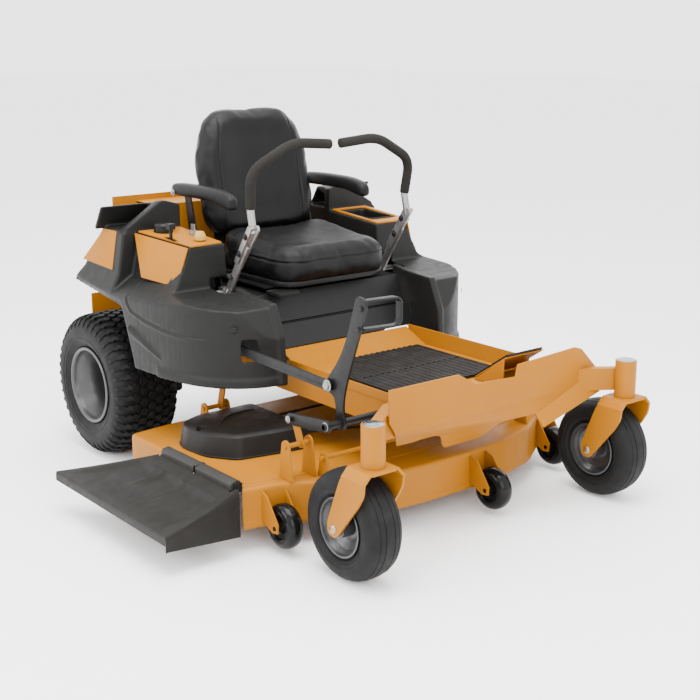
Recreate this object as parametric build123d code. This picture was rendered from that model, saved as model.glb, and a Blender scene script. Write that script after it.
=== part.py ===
from build123d import *
import math
import os

# Zero turn mower, millimetres, +Z up. The machine faces -Y and the operator's right
# hand, where the deck discharges, is -X. Everything is drawn about the machine's own
# mid-plane (X = 0) and moved to the origin of its footprint only when it is written.

# ---- driving dimensions ---------------------------------------------------------
REAR_AXLE_Y = 739
REAR_AXLE_Z = 262
REAR_TYRE_R = 262
REAR_TYRE_W = 254
REAR_WHEEL_X = 502
REAR_RIM_R = 140

CASTER_X = 539
CASTER_Y = -800
CASTER_TRAIL = 85
CASTER_AXLE_Z = 165
CASTER_TYRE_R = 165
CASTER_TYRE_W = 127
CASTER_RIM_R = 89
CASTER_TUBE_R = 35
CASTER_TUBE_LOW = 361
CASTER_TUBE_TOP = 482
KINGPIN_R = 16

RAIL_IN = 220
RAIL_OUT = 270
RAIL_LOW = 350
RAIL_TOP = 434
RAIL_FRONT = -640
RAIL_REAR = 934
SHEET = 4

FLOOR_Z = 438
MAT_THICK = 8

SEAT_HINGE_Y = 68
SEAT_HINGE_Z = 560
SEAT_PLATE_Z = 657

LEVER_X = 340
LEVER_PIVOT_Y = 228
LEVER_PIVOT_Z = 655

LIFT_FRONT = (-534, 398)
LIFT_REAR = (-7, 415)
LIFT_ARM = (177, -19)
LIFT_UPRIGHT = (47, 108)
LIFT_SHAFT_R = 12

DECK_TOP_Z = 200
DECK_LIP_Z = 72
DECK_SHEET = 4
SPINDLES = {"right": (-430, -30), "mid": (0, -200), "left": (430, -30)}
BLADE_LENGTH = 457
BLADE_Z = 100
ROLLERS = {"front": (119, -622), "right": (-592, -452), "left": (592, -452)}
ROLLER_Z = 85
ROLLER_R = 70
HINGE_BAR_X = -708
HINGE_BAR_Z = 214
HINGE_EAR_Y = (-374, -168, 40)
HINGE_EAR_THICK = 8
POD_IN = 335
POD_OUT = 622
POD_WALL = 4
LEVER_SLOT_Y = (156, 262)
THROTTLE_SLOT = (466, 482, 320, 392, 800, 870)
HANGER_SLACK = 3
DECK_OUTLINE = [(-690, 60), (-690, 310), (-500, 330), (500, 330), (680, 250), (690, -374),
                (546, -374), (524, -503), (330, -528), (120, -545), (-120, -545),
                (-330, -528), (-524, -503), (-546, -374), (-690, -374)]
FRONT_EYE = (-388, 306)
REAR_EYE = (205, 268)

RUN = 0.05  # radial clearance of a running fit

# The chute makes the footprint lopsided, so the written origin is shifted to the
# middle of the whole machine's bounding box.
SHIFT = Vector(136, -60.5, 0)


# ---- helpers --------------------------------------------------------------------
def block(x0, x1, y0, y1, z0, z1):
    """Box between two corners."""
    size = Box(x1 - x0, y1 - y0, z1 - z0)
    return Pos((x0 + x1) / 2, (y0 + y1) / 2, (z0 + z1) / 2) * size


def prism_x(points_yz, x0, x1):
    """Outline in the YZ plane, pushed from x0 to x1."""
    face = make_face(Polyline(*[(x0, y, z) for y, z in points_yz], close=True))
    return extrude(face, amount=x1 - x0, dir=(1, 0, 0))


def prism_y(points_xz, y0, y1):
    """Outline in the XZ plane, pushed from y0 to y1."""
    face = make_face(Polyline(*[(x, y0, z) for x, z in points_xz], close=True))
    return extrude(face, amount=y1 - y0, dir=(0, 1, 0))


def prism_z(points_xy, z0, z1):
    """Outline in the XY plane, pushed from z0 to z1."""
    face = make_face(Polyline(*[(x, y, z0) for x, y in points_xy], close=True))
    return extrude(face, amount=z1 - z0, dir=(0, 0, 1))


def rod(start, end, radius):
    """Round bar between two points."""
    start, end = Vector(*start), Vector(*end)
    run = end - start
    plane = Plane(origin=start, z_dir=run)
    return extrude(plane * Circle(radius), amount=run.length)


def rod_x(x0, x1, y, z, radius):
    return rod((x0, y, z), (x1, y, z), radius)


def ring_x(x0, x1, y, z, outer, inner):
    return rod_x(x0, x1, y, z, outer) - rod_x(x0 - 1, x1 + 1, y, z, inner)


def mirrored(shape):
    return mirror(shape, about=Plane.YZ)


def pair(shape):
    """A left-hand piece and its mirror image, as separate solids."""
    return group(shape, mirrored(shape))


def group(*shapes):
    """Separate solids that share one node."""
    solids = []
    for shape in shapes:
        solids += list(shape.solids())
    return Compound(children=solids)


def turned(profile_xr, y, z):
    """Solid of revolution about an axle along X: profile is (x, radius) pairs."""
    points = [(x, y, z + r) for x, r in profile_xr]
    face = make_face(Polyline(*points, close=True))
    return revolve(face, axis=Axis((0, y, z), (1, 0, 0)))


def turned_z(profile_rz, x, y):
    """Solid of revolution about an upright axis: profile is (radius, z) pairs."""
    points = [(x + r, y, z) for r, z in profile_rz]
    face = make_face(Polyline(*points, close=True))
    return revolve(face, axis=Axis((x, y, 0), (0, 0, 1)))


def strip(points_yz, thick, x0, x1):
    """Bent sheet: a line in the YZ plane given a thickness, pushed from x0 to x1."""
    upper = []
    for i, (y, z) in enumerate(points_yz):
        normals = []
        for j in (i - 1, i):
            if 0 <= j < len(points_yz) - 1:
                dy = points_yz[j + 1][0] - points_yz[j][0]
                dz = points_yz[j + 1][1] - points_yz[j][1]
                length = math.hypot(dy, dz)
                normals.append((-dz / length, dy / length))
        ny = sum(n[0] for n in normals) / len(normals)
        nz = sum(n[1] for n in normals) / len(normals)
        scale = thick / (ny * ny + nz * nz)
        upper.append((y + ny * scale, z + nz * scale))
    return prism_x(list(points_yz) + upper[::-1], x0, x1)


# ---- frame ----------------------------------------------------------------------
def frame():
    wall = 3
    rail = block(RAIL_IN, RAIL_OUT, RAIL_FRONT, RAIL_REAR, RAIL_LOW, RAIL_TOP)
    rail -= block(RAIL_IN + wall, RAIL_OUT - wall, RAIL_FRONT - 1, RAIL_REAR + 1,
                  RAIL_LOW + wall, RAIL_TOP - wall)
    for y, z in (LIFT_FRONT, LIFT_REAR):
        rail -= rod_x(RAIL_IN - 1, RAIL_OUT + 1, y, z, LIFT_SHAFT_R + RUN)
    beams = []
    for y0, y1 in ((-636, -586), (280, 330), (880, 926)):
        beam = block(-RAIL_IN, RAIL_IN, y0, y1, 356, 428)
        beam -= block(-RAIL_IN - 1, RAIL_IN + 1, y0 + wall, y1 - wall, 356 + wall, 428 - wall)
        beams.append(beam)
    return group(pair(rail), pair(caster_arm()), *beams)


def caster_arm():
    """Boxed front arm that ends in the upright caster tube (left-hand side)."""
    low, high, wall = 378, 452, 5
    plan = [(RAIL_OUT, -694), (RAIL_OUT, -600), (335, -600), (556, -768),
            (CASTER_X - 20, -775), (400, -694)]
    arm = prism_z(plan, low, high)
    hollow = offset(make_face(Polyline(*[(x, y, low + wall) for x, y in plan], close=True)),
                    amount=-wall)
    arm -= extrude(hollow, amount=high - low - 2 * wall, dir=(0, 0, 1))
    tube = rod((CASTER_X, CASTER_Y, CASTER_TUBE_LOW), (CASTER_X, CASTER_Y, CASTER_TUBE_TOP),
               CASTER_TUBE_R)
    arm += tube
    return arm - rod((CASTER_X, CASTER_Y, 300), (CASTER_X, CASTER_Y, 500), KINGPIN_R + RUN)


def front_plate():
    """Folded plate across the front, with two arches and a notched top edge."""
    edge = [(105, 484), (130, 531), (398, 531), (398, 326), (352, 309), (266, 288),
            (236, 340), (215, 350), (130, 350), (104, 338), (80, 291)]
    outline = edge + [(-x, z) for x, z in reversed(edge)]
    plate = prism_y(outline, -700, -695)
    wing = prism_y([(396, 531), (430, 519), (505, 444), (508, 370), (456, 364),
                    (396, 325)], -900, -600)
    wing &= prism_z([(396, -698.5), (396, -705.5), (509, -781.5), (509, -774.5)], 300, 560)
    return plate + wing + mirrored(wing)


def foot_pan():
    low = FLOOR_Z - SHEET
    floor = strip([(-690, low), (-100, low), (10, 481)], SHEET, -268, 268)
    floor += strip([(-598, low), (-100, low), (10, 481)], SHEET, 267, 290)
    left_wall = block(291, 295, -598, 0, low, 494)
    right_lip = block(-273, -269, -598, -40, low, 463)
    toe_board = strip([(-665, 534), (-532, 444)], -SHEET, 112, 286)
    gusset = prism_x([(-540, FLOOR_Z + 1), (-668, FLOOR_Z + 1), (-668, 530)], 100, 106)
    return group(floor, left_wall, right_lip, toe_board, gusset)


def floor_mat():
    """Rubber mat on the floor, with a second pad on the toe board."""
    top = FLOOR_Z + MAT_THICK
    plan = [(-219, -269), (-70, -110), (240, -110), (240, -524), (-221, -524)]
    flat = prism_z(plan, FLOOR_Z, top)
    pad = strip([(-668, 537), (-532, 445)], 6, 118, 280)
    return group(flat, pad)


def seat_base_panel():
    return strip([(14, 486), (54, 560)], 3, -328, 328)


# ---- fender pods ----------------------------------------------------------------


def pod_outer(inset):
    """Closed outer form of the left pod, drawn in by inset on every side."""
    i = inset
    plan = [(POD_IN, -104 + i), (425, -84 + i), (500 - i * 0.5, -36 + i),
            (562 - i, 22 + i), (602 - i, 150), (POD_OUT - i, 400), (POD_OUT - i, 860),
            (POD_IN, 860)]
    fender = prism_z(plan, 380, 960)
    side = [(-110 + i, 404), (-98 + i, 560), (-47 + i, 658 - i), (60, 664 - i),
            (226 + i, 684 - i), (262 + i, 832 - i), (530 + i, 846 - i), (600, 934 - i),
            (692 - i, 932 - i), (838 - i, 648 + i), (474 - i, 604 + i), (404 - i, 424),
            (150, 414)]
    form = fender & prism_x(side, POD_IN, POD_OUT)
    shoulder = [(POD_OUT + 9, 650 - i), (560 - i, 694 - i), (512 - i, 848), (512 - i, 980),
                (POD_OUT + 60, 980)]
    rear_shoulder = [(POD_OUT + 9, 650 - i), (600 - i, 700 - i), (566 - i, 860),
                     (560 - i, 980), (POD_OUT + 60, 980)]
    form -= prism_y(shoulder, -200, 530 + i)
    form -= prism_y(rear_shoulder, 520 + i, 900)
    return form


def pod(side):
    """Moulded pod: open underneath, with a lever slot, and on one side a tray."""
    shell = pod_outer(0)
    hollow = pod_outer(POD_WALL)
    hollow += block(POD_IN + POD_WALL, 590, -80, 400, 380, 420)
    hollow &= block(POD_IN + POD_WALL, 640, -200, 900, 300, 980)
    shell -= hollow
    shell -= block(POD_IN - 5, POD_IN + POD_WALL + 5, -60, 880, 300, 452)
    shell -= block(LEVER_X - 30, LEVER_X + 34, *LEVER_SLOT_Y, 625, 690)
    if side == "left":
        shell -= block(362, 492, 290, 500, 800, 860)
        tray = block(358, 496, 286, 504, 792, 838) - block(362, 492, 290, 500, 796, 850)
        shell += tray
        return shell
    shell -= block(430, 470, -120, 30, 496, 556)
    shell -= block(*THROTTLE_SLOT)
    return mirrored(shell)


def panels():
    """Painted covers laid on the pods: console top and side, and rear side."""
    lift = 0.2
    thick = 3
    outer = pod_outer(-thick - lift) - pod_outer(-lift)
    console = outer & block(POD_IN + 12, 640, 236, 512, 700, 870)
    rear = outer & block(540, 640, 556, 742, 716, 856)
    left_top = console - block(354, 500, 282, 508, 800, 880)
    left = group(left_top, rear)
    right = group(mirrored(console - block(*THROTTLE_SLOT)), mirrored(rear))
    return group(left, right)


def rear_cover():
    """Dark cowl between the pods behind the operator, over the engine's front."""
    skin = strip([(660, 700), (690, 905), (845, 905)], SHEET, -330, 330)
    lip = block(-430, 430, 846, 850, 800, 930)
    return group(skin, lip)


def rear_guard():
    """Bent steel guard around the engine, with accessory holes."""
    half = [(490, 558), (490, 474), (352, 474), (300, 380)]
    plate = prism_y(half + [(-x, z) for x, z in reversed(half)], 934, 940)
    window = block(-180, 180, 930, 944, 440, 520)
    plate -= window
    for x in (-240, 240):
        for z in (400, 540):
            plate -= rod((x, 930, z), (x, 944, z), 5.5)
    hitch = block(-60, 60, 941, 1000, 372, 380)
    hitch -= rod((0, 975, 360), (0, 975, 390), 9.5)
    web = block(-60, 60, 941, 947, 380.5, 436)
    return group(plate, hitch, web)


# ---- power unit -----------------------------------------------------------------
def engine_block():
    crankcase = block(-160, 160, 610, 860, 442, 600)
    barrels = []
    for sign in (-1, 1):
        for fin in range(6):
            start = 165 + fin * 14
            barrels.append(block(min(sign * start, sign * (start + 7)),
                                 max(sign * start, sign * (start + 7)),
                                 640 + fin * 2, 760 - fin * 2, 470, 590))
        core = block(min(sign * 160, sign * 245), max(sign * 160, sign * 245),
                     665, 735, 490, 570)
        barrels.append(core)
    body = crankcase
    for piece in barrels:
        body += piece
    return body


def engine_shroud():
    cup = turned_z([(0, 606), (150, 606), (150, 660), (110, 696), (0, 696)], 0, 768)
    return cup


def muffler():
    can = rod_x(-150, 150, 898, 486, 32)
    outlet = rod((-120, 898, 462), (-120, 898, 436), 13)
    return can + outlet


def transaxles():
    case = block(275, 352, 640, 850, 200, 346)
    case = fillet(case.edges(), 14)
    axle = rod_x(352, 378, REAR_AXLE_Y, REAR_AXLE_Z, 18)
    return pair(case + axle)


def battery():
    return block(400, 570, 262, 400, 480, 650)


def fuel_tank():
    tank = block(-570, -356, 270, 440, 560, 780)
    tank &= prism_y([(-600, 540), (-560, 640), (-500, 790), (-350, 790), (-350, 540)], 200, 500)
    return tank


# ---- rear wheels ----------------------------------------------------------------
def rear_tyre(sign):
    half = REAR_TYRE_W / 2
    bead = REAR_RIM_R - 11
    outer = [(half - 22, bead), (half - 22, REAR_RIM_R + 1.5), (half - 6, REAR_RIM_R + 10),
             (half, bead + 44), (half, REAR_TYRE_R - 52), (half - 16, REAR_TYRE_R - 16),
             (half - 50, REAR_TYRE_R)]
    inner = [(half - 62, REAR_TYRE_R - 20), (half - 30, REAR_TYRE_R - 32),
             (half - 12, REAR_TYRE_R - 60), (half - 12, bead + 44), (half - 36, bead)]
    return tyre_of(outer, inner, sign * REAR_WHEEL_X, REAR_AXLE_Y, REAR_AXLE_Z)


def tyre_of(outer, inner, x, y, z):
    """Tyre casing, open at the beads, from the outer and inner lines of its +X half."""
    profile = [(-a, r) for a, r in outer] + outer[::-1]
    profile += inner[::-1] + [(-a, r) for a, r in inner]
    return turned([(x + a, r) for a, r in profile], y, z)


def rear_rim(sign):
    """Deep-dished steel rim: barrel with two flanges and a disc near its inner side."""
    half = REAR_TYRE_W / 2
    r = REAR_RIM_R
    barrel = r - 11.3
    profile = [(half - 19, r), (half - 12, r), (half - 12, barrel - 3), (half - 70, barrel - 3),
               (half - 84, 106), (-half + 72, 106), (-half + 60, 90), (-half + 60, 30),
               (-half + 54, 30), (-half + 54, 94), (-half + 60, 110), (-half + 60, barrel - 3),
               (-half + 12, barrel - 3), (-half + 12, r), (-half + 19, r),
               (-half + 21.5, barrel), (half - 21.5, barrel)]
    rim = turned([(REAR_WHEEL_X + x, rad) for x, rad in profile], REAR_AXLE_Y, REAR_AXLE_Z)
    wheel = group(rim, *rear_hub())
    return wheel if sign > 0 else group(*[mirrored(solid) for solid in wheel.solids()])


def rear_hub():
    """Drive hub with four wheel nuts (left-hand side)."""
    face = REAR_WHEEL_X - REAR_TYRE_W / 2 + 54
    flange = ring_x(face - 10, face, REAR_AXLE_Y, REAR_AXLE_Z, 70, 18 + RUN)
    flange += ring_x(378.6, face - 10, REAR_AXLE_Y, REAR_AXLE_Z, 32, 18 + RUN)
    nose = rod_x(face, face + 26, REAR_AXLE_Y, REAR_AXLE_Z, 29)
    nuts = []
    for n in range(4):
        angle = math.radians(45 + 90 * n)
        y = REAR_AXLE_Y + 50 * math.cos(angle)
        z = REAR_AXLE_Z + 50 * math.sin(angle)
        nuts.append(rod_x(face + 6, face + 18, y, z, 11))
    return [flange + nose, *nuts]


# ---- casters --------------------------------------------------------------------
def caster_fork(sign):
    """Kingpin, crown and two raked legs around the caster wheel, with its axle bolt."""
    y, z = CASTER_Y, CASTER_TUBE_LOW
    axle_y = CASTER_Y + CASTER_TRAIL
    half = CASTER_TYRE_W / 2 + 12
    crown = block(-half, half, -48, 48, -12, -1)
    crown = fillet(crown.edges().filter_by(Axis.Z), 20)
    crown = Pos(CASTER_X, y, z) * crown
    legs = []
    for side in (-1, 1):
        x0 = CASTER_X + side * half
        x1 = x0 - side * 8
        low, high = min(x0, x1), max(x0, x1)
        leg = prism_x([(y - 46, z - 12), (y + 46, z - 12), (axle_y + 26, CASTER_AXLE_Z + 14),
                       (axle_y + 22, CASTER_AXLE_Z - 22), (axle_y - 20, CASTER_AXLE_Z - 24),
                       (y - 40, z - 92)], low, high)
        legs.append(leg)
    pin = rod((CASTER_X, y, z - 2), (CASTER_X, y, CASTER_TUBE_TOP - 6), KINGPIN_R)
    bolt = rod_x(CASTER_X - half - 12, CASTER_X + half + 12, axle_y, CASTER_AXLE_Z, 8)
    head = rod_x(CASTER_X + half, CASTER_X + half + 9, axle_y, CASTER_AXLE_Z, 13)
    nut = rod_x(CASTER_X - half - 9, CASTER_X - half, axle_y, CASTER_AXLE_Z, 13)
    fork = crown + legs[0] + legs[1] + pin + bolt + head + nut
    return fork if sign > 0 else mirrored(fork)


def caster_tyre(sign):
    half = CASTER_TYRE_W / 2
    bead = CASTER_RIM_R - 8
    outer = [(half - 16, bead), (half - 16, CASTER_RIM_R + 1.5), (half - 4, CASTER_RIM_R + 8),
             (half, bead + 30), (half - 3, 132), (half - 22, 156), (24, CASTER_TYRE_R)]
    inner = [(26, CASTER_TYRE_R - 12), (half - 28, 144), (half - 12, 128), (half - 10, bead + 30),
             (half - 26, bead)]
    y = CASTER_Y + CASTER_TRAIL
    return tyre_of(outer, inner, sign * CASTER_X, y, CASTER_AXLE_Z)


def caster_rim(sign):
    half = CASTER_TYRE_W / 2
    r = CASTER_RIM_R
    barrel = r - 8.3
    profile = [(half - 14, r), (half - 8, r), (half - 8, barrel - 3), (16, barrel - 3),
               (8, 30), (half - 3, 30), (half - 3, 8 + RUN), (-half + 3, 8 + RUN),
               (-half + 3, 30), (-8, 30), (-16, barrel - 3), (-half + 8, barrel - 3),
               (-half + 8, r), (-half + 14, r), (-half + 15.5, barrel), (half - 15.5, barrel)]
    y = CASTER_Y + CASTER_TRAIL
    return turned([(sign * (CASTER_X + x), rad) for x, rad in profile], y, CASTER_AXLE_Z)


# ---- control levers -------------------------------------------------------------
def lever_foot(sign):
    """Cross shaft that turns in the pod wall, with the forward pin of the swing joint."""
    y, z = LEVER_PIVOT_Y, LEVER_PIVOT_Z
    boss = block(LEVER_X - 14, LEVER_X + 14, y - 2, y + 30, z - 14, z + 18)
    shaft = rod_x(LEVER_X - 16, LEVER_X + 80, y + 14, z, 10)
    pin = rod((LEVER_X, y - 1, z + 4), (LEVER_X, y - 24, z + 4), 8)
    foot = boss + shaft + pin
    return foot if sign > 0 else mirrored(foot)


def lever_arm(sign):
    """Eye on the swing pin, slotted flat bar, clamp plate and bare lower tube."""
    y, z = LEVER_PIVOT_Y, LEVER_PIVOT_Z + 4
    eye = rod((LEVER_X, y - 22, z), (LEVER_X, y - 2.5, z), 15)
    slope = [(y - 22, z - 6), (y - 3, z + 10), (104, 838), (84, 826)]
    bar = prism_x(slope, LEVER_X - 5, LEVER_X + 5)
    clamp = prism_x([(160, 742), (176, 762), (70, 906), (38, 906), (34, 894)],
                    LEVER_X - 11, LEVER_X - 5)
    side = prism_x([(150, 752), (160, 764), (66, 906), (48, 906)], LEVER_X - 11, LEVER_X + 13)
    tube = rod((LEVER_X - 3, 62, 890), (LEVER_X - 5, 75.5, 954), 12.7)
    arm = eye + bar + clamp + side + tube
    arm -= rod((LEVER_X, y - 30, z), (LEVER_X, y + 10, z), 8 + RUN)
    return arm if sign > 0 else mirrored(arm)


def lever_grip(sign):
    """Foam grip over the bent handle tube."""
    path = FilletPolyline((335, 77, 960.5), (345, 61, 1082), (182, 47, 1170), (17, 54, 1156),
                          radius=48)
    grip = sweep(Plane(origin=path @ 0, z_dir=path % 0) * Circle(17), path=path)
    return grip if sign > 0 else mirrored(grip)


# ---- seat -----------------------------------------------------------------------
def seat_plate():
    """Hinged plate that carries the seat; its front lip closes the panel below."""
    skin = strip([(60, 567), (100, SEAT_PLATE_Z), (590, SEAT_PLATE_Z)], SHEET, -318, 318)
    hinge = rod_x(-300, 300, SEAT_HINGE_Y, SEAT_HINGE_Z, 6)
    rails = [block(x - 14, x + 14, 130, 540, SEAT_PLATE_Z + SHEET, SEAT_PLATE_Z + SHEET + 16)
             for x in (-150, 150)]
    return group(skin, hinge, *rails)


def seat_pan():
    """Sliding base with the back frame and the two armrest brackets."""
    low = SEAT_PLATE_Z + SHEET + 16.5
    base = block(-262, 262, 110, 560, low, low + 6)
    back = strip([(562, low + 6), (628, 1120)], 5, -160, 160)
    brackets = []
    for sign in (-1, 1):
        x0, x1 = sorted((sign * 256, sign * 262))
        arm = prism_x([(500, low), (560, low), (618, 985), (582, 985)], x0, x1)
        pin = rod_x(*sorted((sign * 262, sign * 300)), 600, 962, 7)
        brackets.append(arm + pin)
    skirt = block(-262, 262, 545, 561, low, low + 40)
    return group(base + skirt + back + brackets[0] + brackets[1])


def seat_cushion():
    low = SEAT_PLATE_Z + SHEET + 23.5
    base = block(-248, 248, 4, 470, low, 800)
    corners = base.edges().filter_by(Axis.Z)
    front = [e for e in corners if e.center().Y < 100]
    base = fillet(front, 110)
    return base


def seat_back():
    side = [(452, 804), (478, 1000), (530, 1215), (570, 1254), (606, 1240), (610, 1100),
            (556, 804)]
    form = prism_x(side, -246, 246)
    front = [(-215, 790), (-244, 900), (-244, 1080), (-205, 1190), (-130, 1256),
             (130, 1256), (205, 1190), (244, 1080), (244, 900), (215, 790)]
    return form & prism_y(front, 400, 700)


def armrest(sign):
    side = [(236, 948), (250, 938), (300, 950), (560, 950), (622, 946), (626, 984),
            (560, 990), (300, 992), (252, 984), (236, 966)]
    pad = prism_x(side, 268, 316)
    pad -= rod_x(260, 301, 600, 962, 7 + RUN)
    return pad if sign > 0 else mirrored(pad)


def seat_slide_lever():
    """Hand lever that frees the seat slides, by the operator's right thigh."""
    low = SEAT_PLATE_Z + SHEET
    shaft = rod_x(-262, -170, 96, low + 9, 5)
    tab = block(-262, -176, 18, 92, low + 4, low + 14)
    return tab + shaft


# ---- dash controls --------------------------------------------------------------
def fuel_cap():
    return turned_z([(0, 848), (34, 848), (34, 872), (28, 878), (0, 878)], -440, 464)


def blade_switch():
    return turned_z([(0, 838), (21, 838), (21, 850), (14, 866), (0, 866)], -400, 290)


def throttle_lever():
    stem = block(-478, -470, 352, 362, 800, 876)
    knob = block(-486, -462, 344, 370, 872, 892)
    return stem + knob


def ignition_key():
    barrel = rod((-372, 380, 842.5), (-372, 380, 856), 13)
    bow = block(-373.5, -370.5, 368, 392, 855, 878)
    return barrel + bow


# ---- deck lift ------------------------------------------------------------------
def lift_point(base, offset_yz):
    return (base[0] + offset_yz[0], base[1] + offset_yz[1])


def bar_plate(start, end, half, x0, x1):
    """Round-ended flat bar between two points in the YZ plane."""
    (ya, za), (yb, zb) = start, end
    length = math.hypot(yb - ya, zb - za)
    ny, nz = -(zb - za) / length * half, (yb - ya) / length * half
    bar = prism_x([(ya + ny, za + nz), (yb + ny, zb + nz), (yb - ny, zb - nz),
                   (ya - ny, za - nz)], x0, x1)
    return bar + rod_x(x0, x1, ya, za, half) + rod_x(x0, x1, yb, zb, half)


def lift_lever():
    """Front cross shaft with the foot pedal lever and an arm to each front hanger."""
    y, z = LIFT_FRONT
    shaft = rod_x(-508, 508, y, z, LIFT_SHAFT_R)
    for side in (-1, 1):
        x0, x1 = sorted((side * 490, side * 500))
        arm = bar_plate(LIFT_FRONT, lift_point(LIFT_FRONT, LIFT_ARM), 19, x0, x1)
        shaft += arm
        end_y, end_z = lift_point(LIFT_FRONT, LIFT_ARM)
        shaft += rod_x(*sorted((side * 480, side * 508)), end_y, end_z, 7)
    link_y, link_z = lift_point(LIFT_FRONT, LIFT_UPRIGHT)
    side = [(y - 20, z), (y - 8, z + 60), (y - 32, z + 120), (y - 122, z + 372),
            (y - 112, z + 392), (y - 82, z + 392), (y - 74, z + 372), (y + 8, z + 160),
            (link_y + 18, link_z + 10), (link_y + 14, link_z - 16), (y + 24, z + 50),
            (y + 22, z)]
    plate = prism_x(side, -446, -438)
    plate += ring_x(-446, -430, y, z, 24, LIFT_SHAFT_R - 1)
    pedal = block(-438, -300, y - 104, y - 96, z + 300, z + 384)
    pedal -= block(-420, -318, y - 110, y - 90, z + 330, z + 372)
    stud = rod_x(-464, -438, link_y, link_z, 8)
    return shaft + plate + pedal + stud


def lift_link():
    start = lift_point(LIFT_FRONT, LIFT_UPRIGHT)
    end = lift_point(LIFT_REAR, LIFT_UPRIGHT)
    link = bar_plate(start, end, 16, -456, -447)
    link -= rod_x(-470, -430, start[0], start[1], 8 + RUN)
    link -= rod_x(-470, -430, end[0], end[1], 8 + 0.6)
    return link


def lift_crank():
    """Rear cross shaft: an upright takes the link, two arms take the rear hangers."""
    y, z = LIFT_REAR
    shaft = rod_x(-445, 418, y, z, LIFT_SHAFT_R)
    end_y, end_z = lift_point(LIFT_REAR, LIFT_ARM)
    for side in (-1, 1):
        x0, x1 = sorted((side * 398, side * 408))
        shaft += bar_plate(LIFT_REAR, (end_y, end_z), 19, x0, x1)
        shaft += rod_x(*sorted((side * 388, side * 416)), end_y, end_z, 7)
    link_y, link_z = lift_point(LIFT_REAR, LIFT_UPRIGHT)
    shaft += bar_plate(LIFT_REAR, (link_y, link_z), 16, -445, -437)
    shaft += rod_x(-462, -437, link_y, link_z, 8)
    return shaft


# ---- mowing deck ----------------------------------------------------------------


def deck_top():
    plate = prism_z(DECK_OUTLINE, DECK_TOP_Z - DECK_SHEET, DECK_TOP_Z)
    for x, y in SPINDLES.values():
        plate -= rod((x, y, 150), (x, y, 250), 45)
    return plate


def deck_skirts():
    """Upright deck walls, one per straight run; the discharge side is left open."""
    walls = []
    count = len(DECK_OUTLINE)
    top = DECK_TOP_Z - DECK_SHEET
    for i in range(count):
        start, end = DECK_OUTLINE[i], DECK_OUTLINE[(i + 1) % count]
        if start == (-690, -374):
            continue
        dx, dy = end[0] - start[0], end[1] - start[1]
        length = math.hypot(dx, dy)
        nx, ny = -dy / length, dx / length
        middle = ((start[0] + end[0]) / 2, (start[1] + end[1]) / 2)
        if nx * (middle[0]) + ny * (middle[1] + 100) > 0:
            nx, ny = -nx, -ny
        ux, uy = dx / length * 4.5, dy / length * 4.5
        run = [(start[0] + ux, start[1] + uy), (end[0] - ux, end[1] - uy)]
        quad = [run[0], run[1], (run[1][0] + nx * 4, run[1][1] + ny * 4),
                (run[0][0] + nx * 4, run[0][1] + ny * 4)]
        walls.append(prism_z(quad, DECK_LIP_Z, top))
    return group(*walls)


def deck_brackets():
    """Hanger ears with their pins, hanger links and the cross rod at the front."""
    pieces = []
    for sign in (-1, 1):
        for eye, xs in ((FRONT_EYE, (450, 536)), (REAR_EYE, (364, 452))):
            y, z = eye
            for x in xs:
                x0, x1 = sorted((sign * x, sign * (x + 6)))
                ear = prism_x([(y - 34, DECK_TOP_Z), (y + 34, DECK_TOP_Z), (y + 20, z),
                               (y - 20, z)], x0, x1)
                ear += rod_x(x0, x1, y, z, 20)
                ear -= rod_x(x0 - 1, x1 + 1, y, z, 8 + RUN)
                pieces.append(ear)
            ends = sorted((sign * (xs[0] - 5), sign * (xs[1] + 11)))
            pieces.append(rod_x(ends[0], ends[1], y, z, 8))
        pieces += hangers(sign)
    pieces.append(rod_x(-449, 449, -440, 262, 7))
    for sign in (-1, 1):
        x0, x1 = sorted((sign * 430, sign * 436))
        ear = prism_x([(-470, DECK_TOP_Z), (-410, DECK_TOP_Z), (-426, 278), (-454, 278)], x0, x1)
        ear -= rod_x(x0 - 1, x1 + 1, -440, 262, 7 + RUN)
        pieces.append(ear)
    return group(*pieces, *roller_brackets())


def hangers(sign):
    """Flat links from the lift arms down to the deck pins, slack at the top eye."""
    links = []
    for base, eye, x in ((LIFT_FRONT, FRONT_EYE, 480), (LIFT_REAR, REAR_EYE, 388)):
        top = lift_point(base, LIFT_ARM)
        x0, x1 = sorted((sign * x, sign * (x + 6)))
        link = bar_plate(top, eye, 15, x0, x1)
        link -= rod_x(x0 - 1, x1 + 1, top[0], top[1], 9.5)
        link -= rod_x(x0 - 1, x1 + 1, top[0] - HANGER_SLACK, top[1], 9.5)
        link -= rod_x(x0 - 1, x1 + 1, eye[0], eye[1], 8 + RUN)
        links.append(link)
    return links


def roller_brackets():
    pieces = []
    for x, y in ROLLERS.values():
        for side in (-1, 1):
            x0, x1 = sorted((x + side * 34, x + side * 39))
            ear = prism_x([(y + 76, 96), (y + 76, 186), (y + 40, 176), (y - 16, 100),
                           (y - 14, 72), (y + 12, 68)], x0, x1)
            ear -= rod_x(x0 - 1, x1 + 1, y, ROLLER_Z, 7 + RUN)
            pieces.append(ear)
    return pieces


def roller(name):
    x, y = ROLLERS[name]
    wheel = turned([(x - 28, 0.001), (x - 28, 52), (x - 20, 66), (x, ROLLER_R), (x + 20, 66),
                    (x + 28, 52), (x + 28, 0.001)], y, ROLLER_Z)
    return wheel + rod_x(x - 42, x + 42, y, ROLLER_Z, 7)


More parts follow.
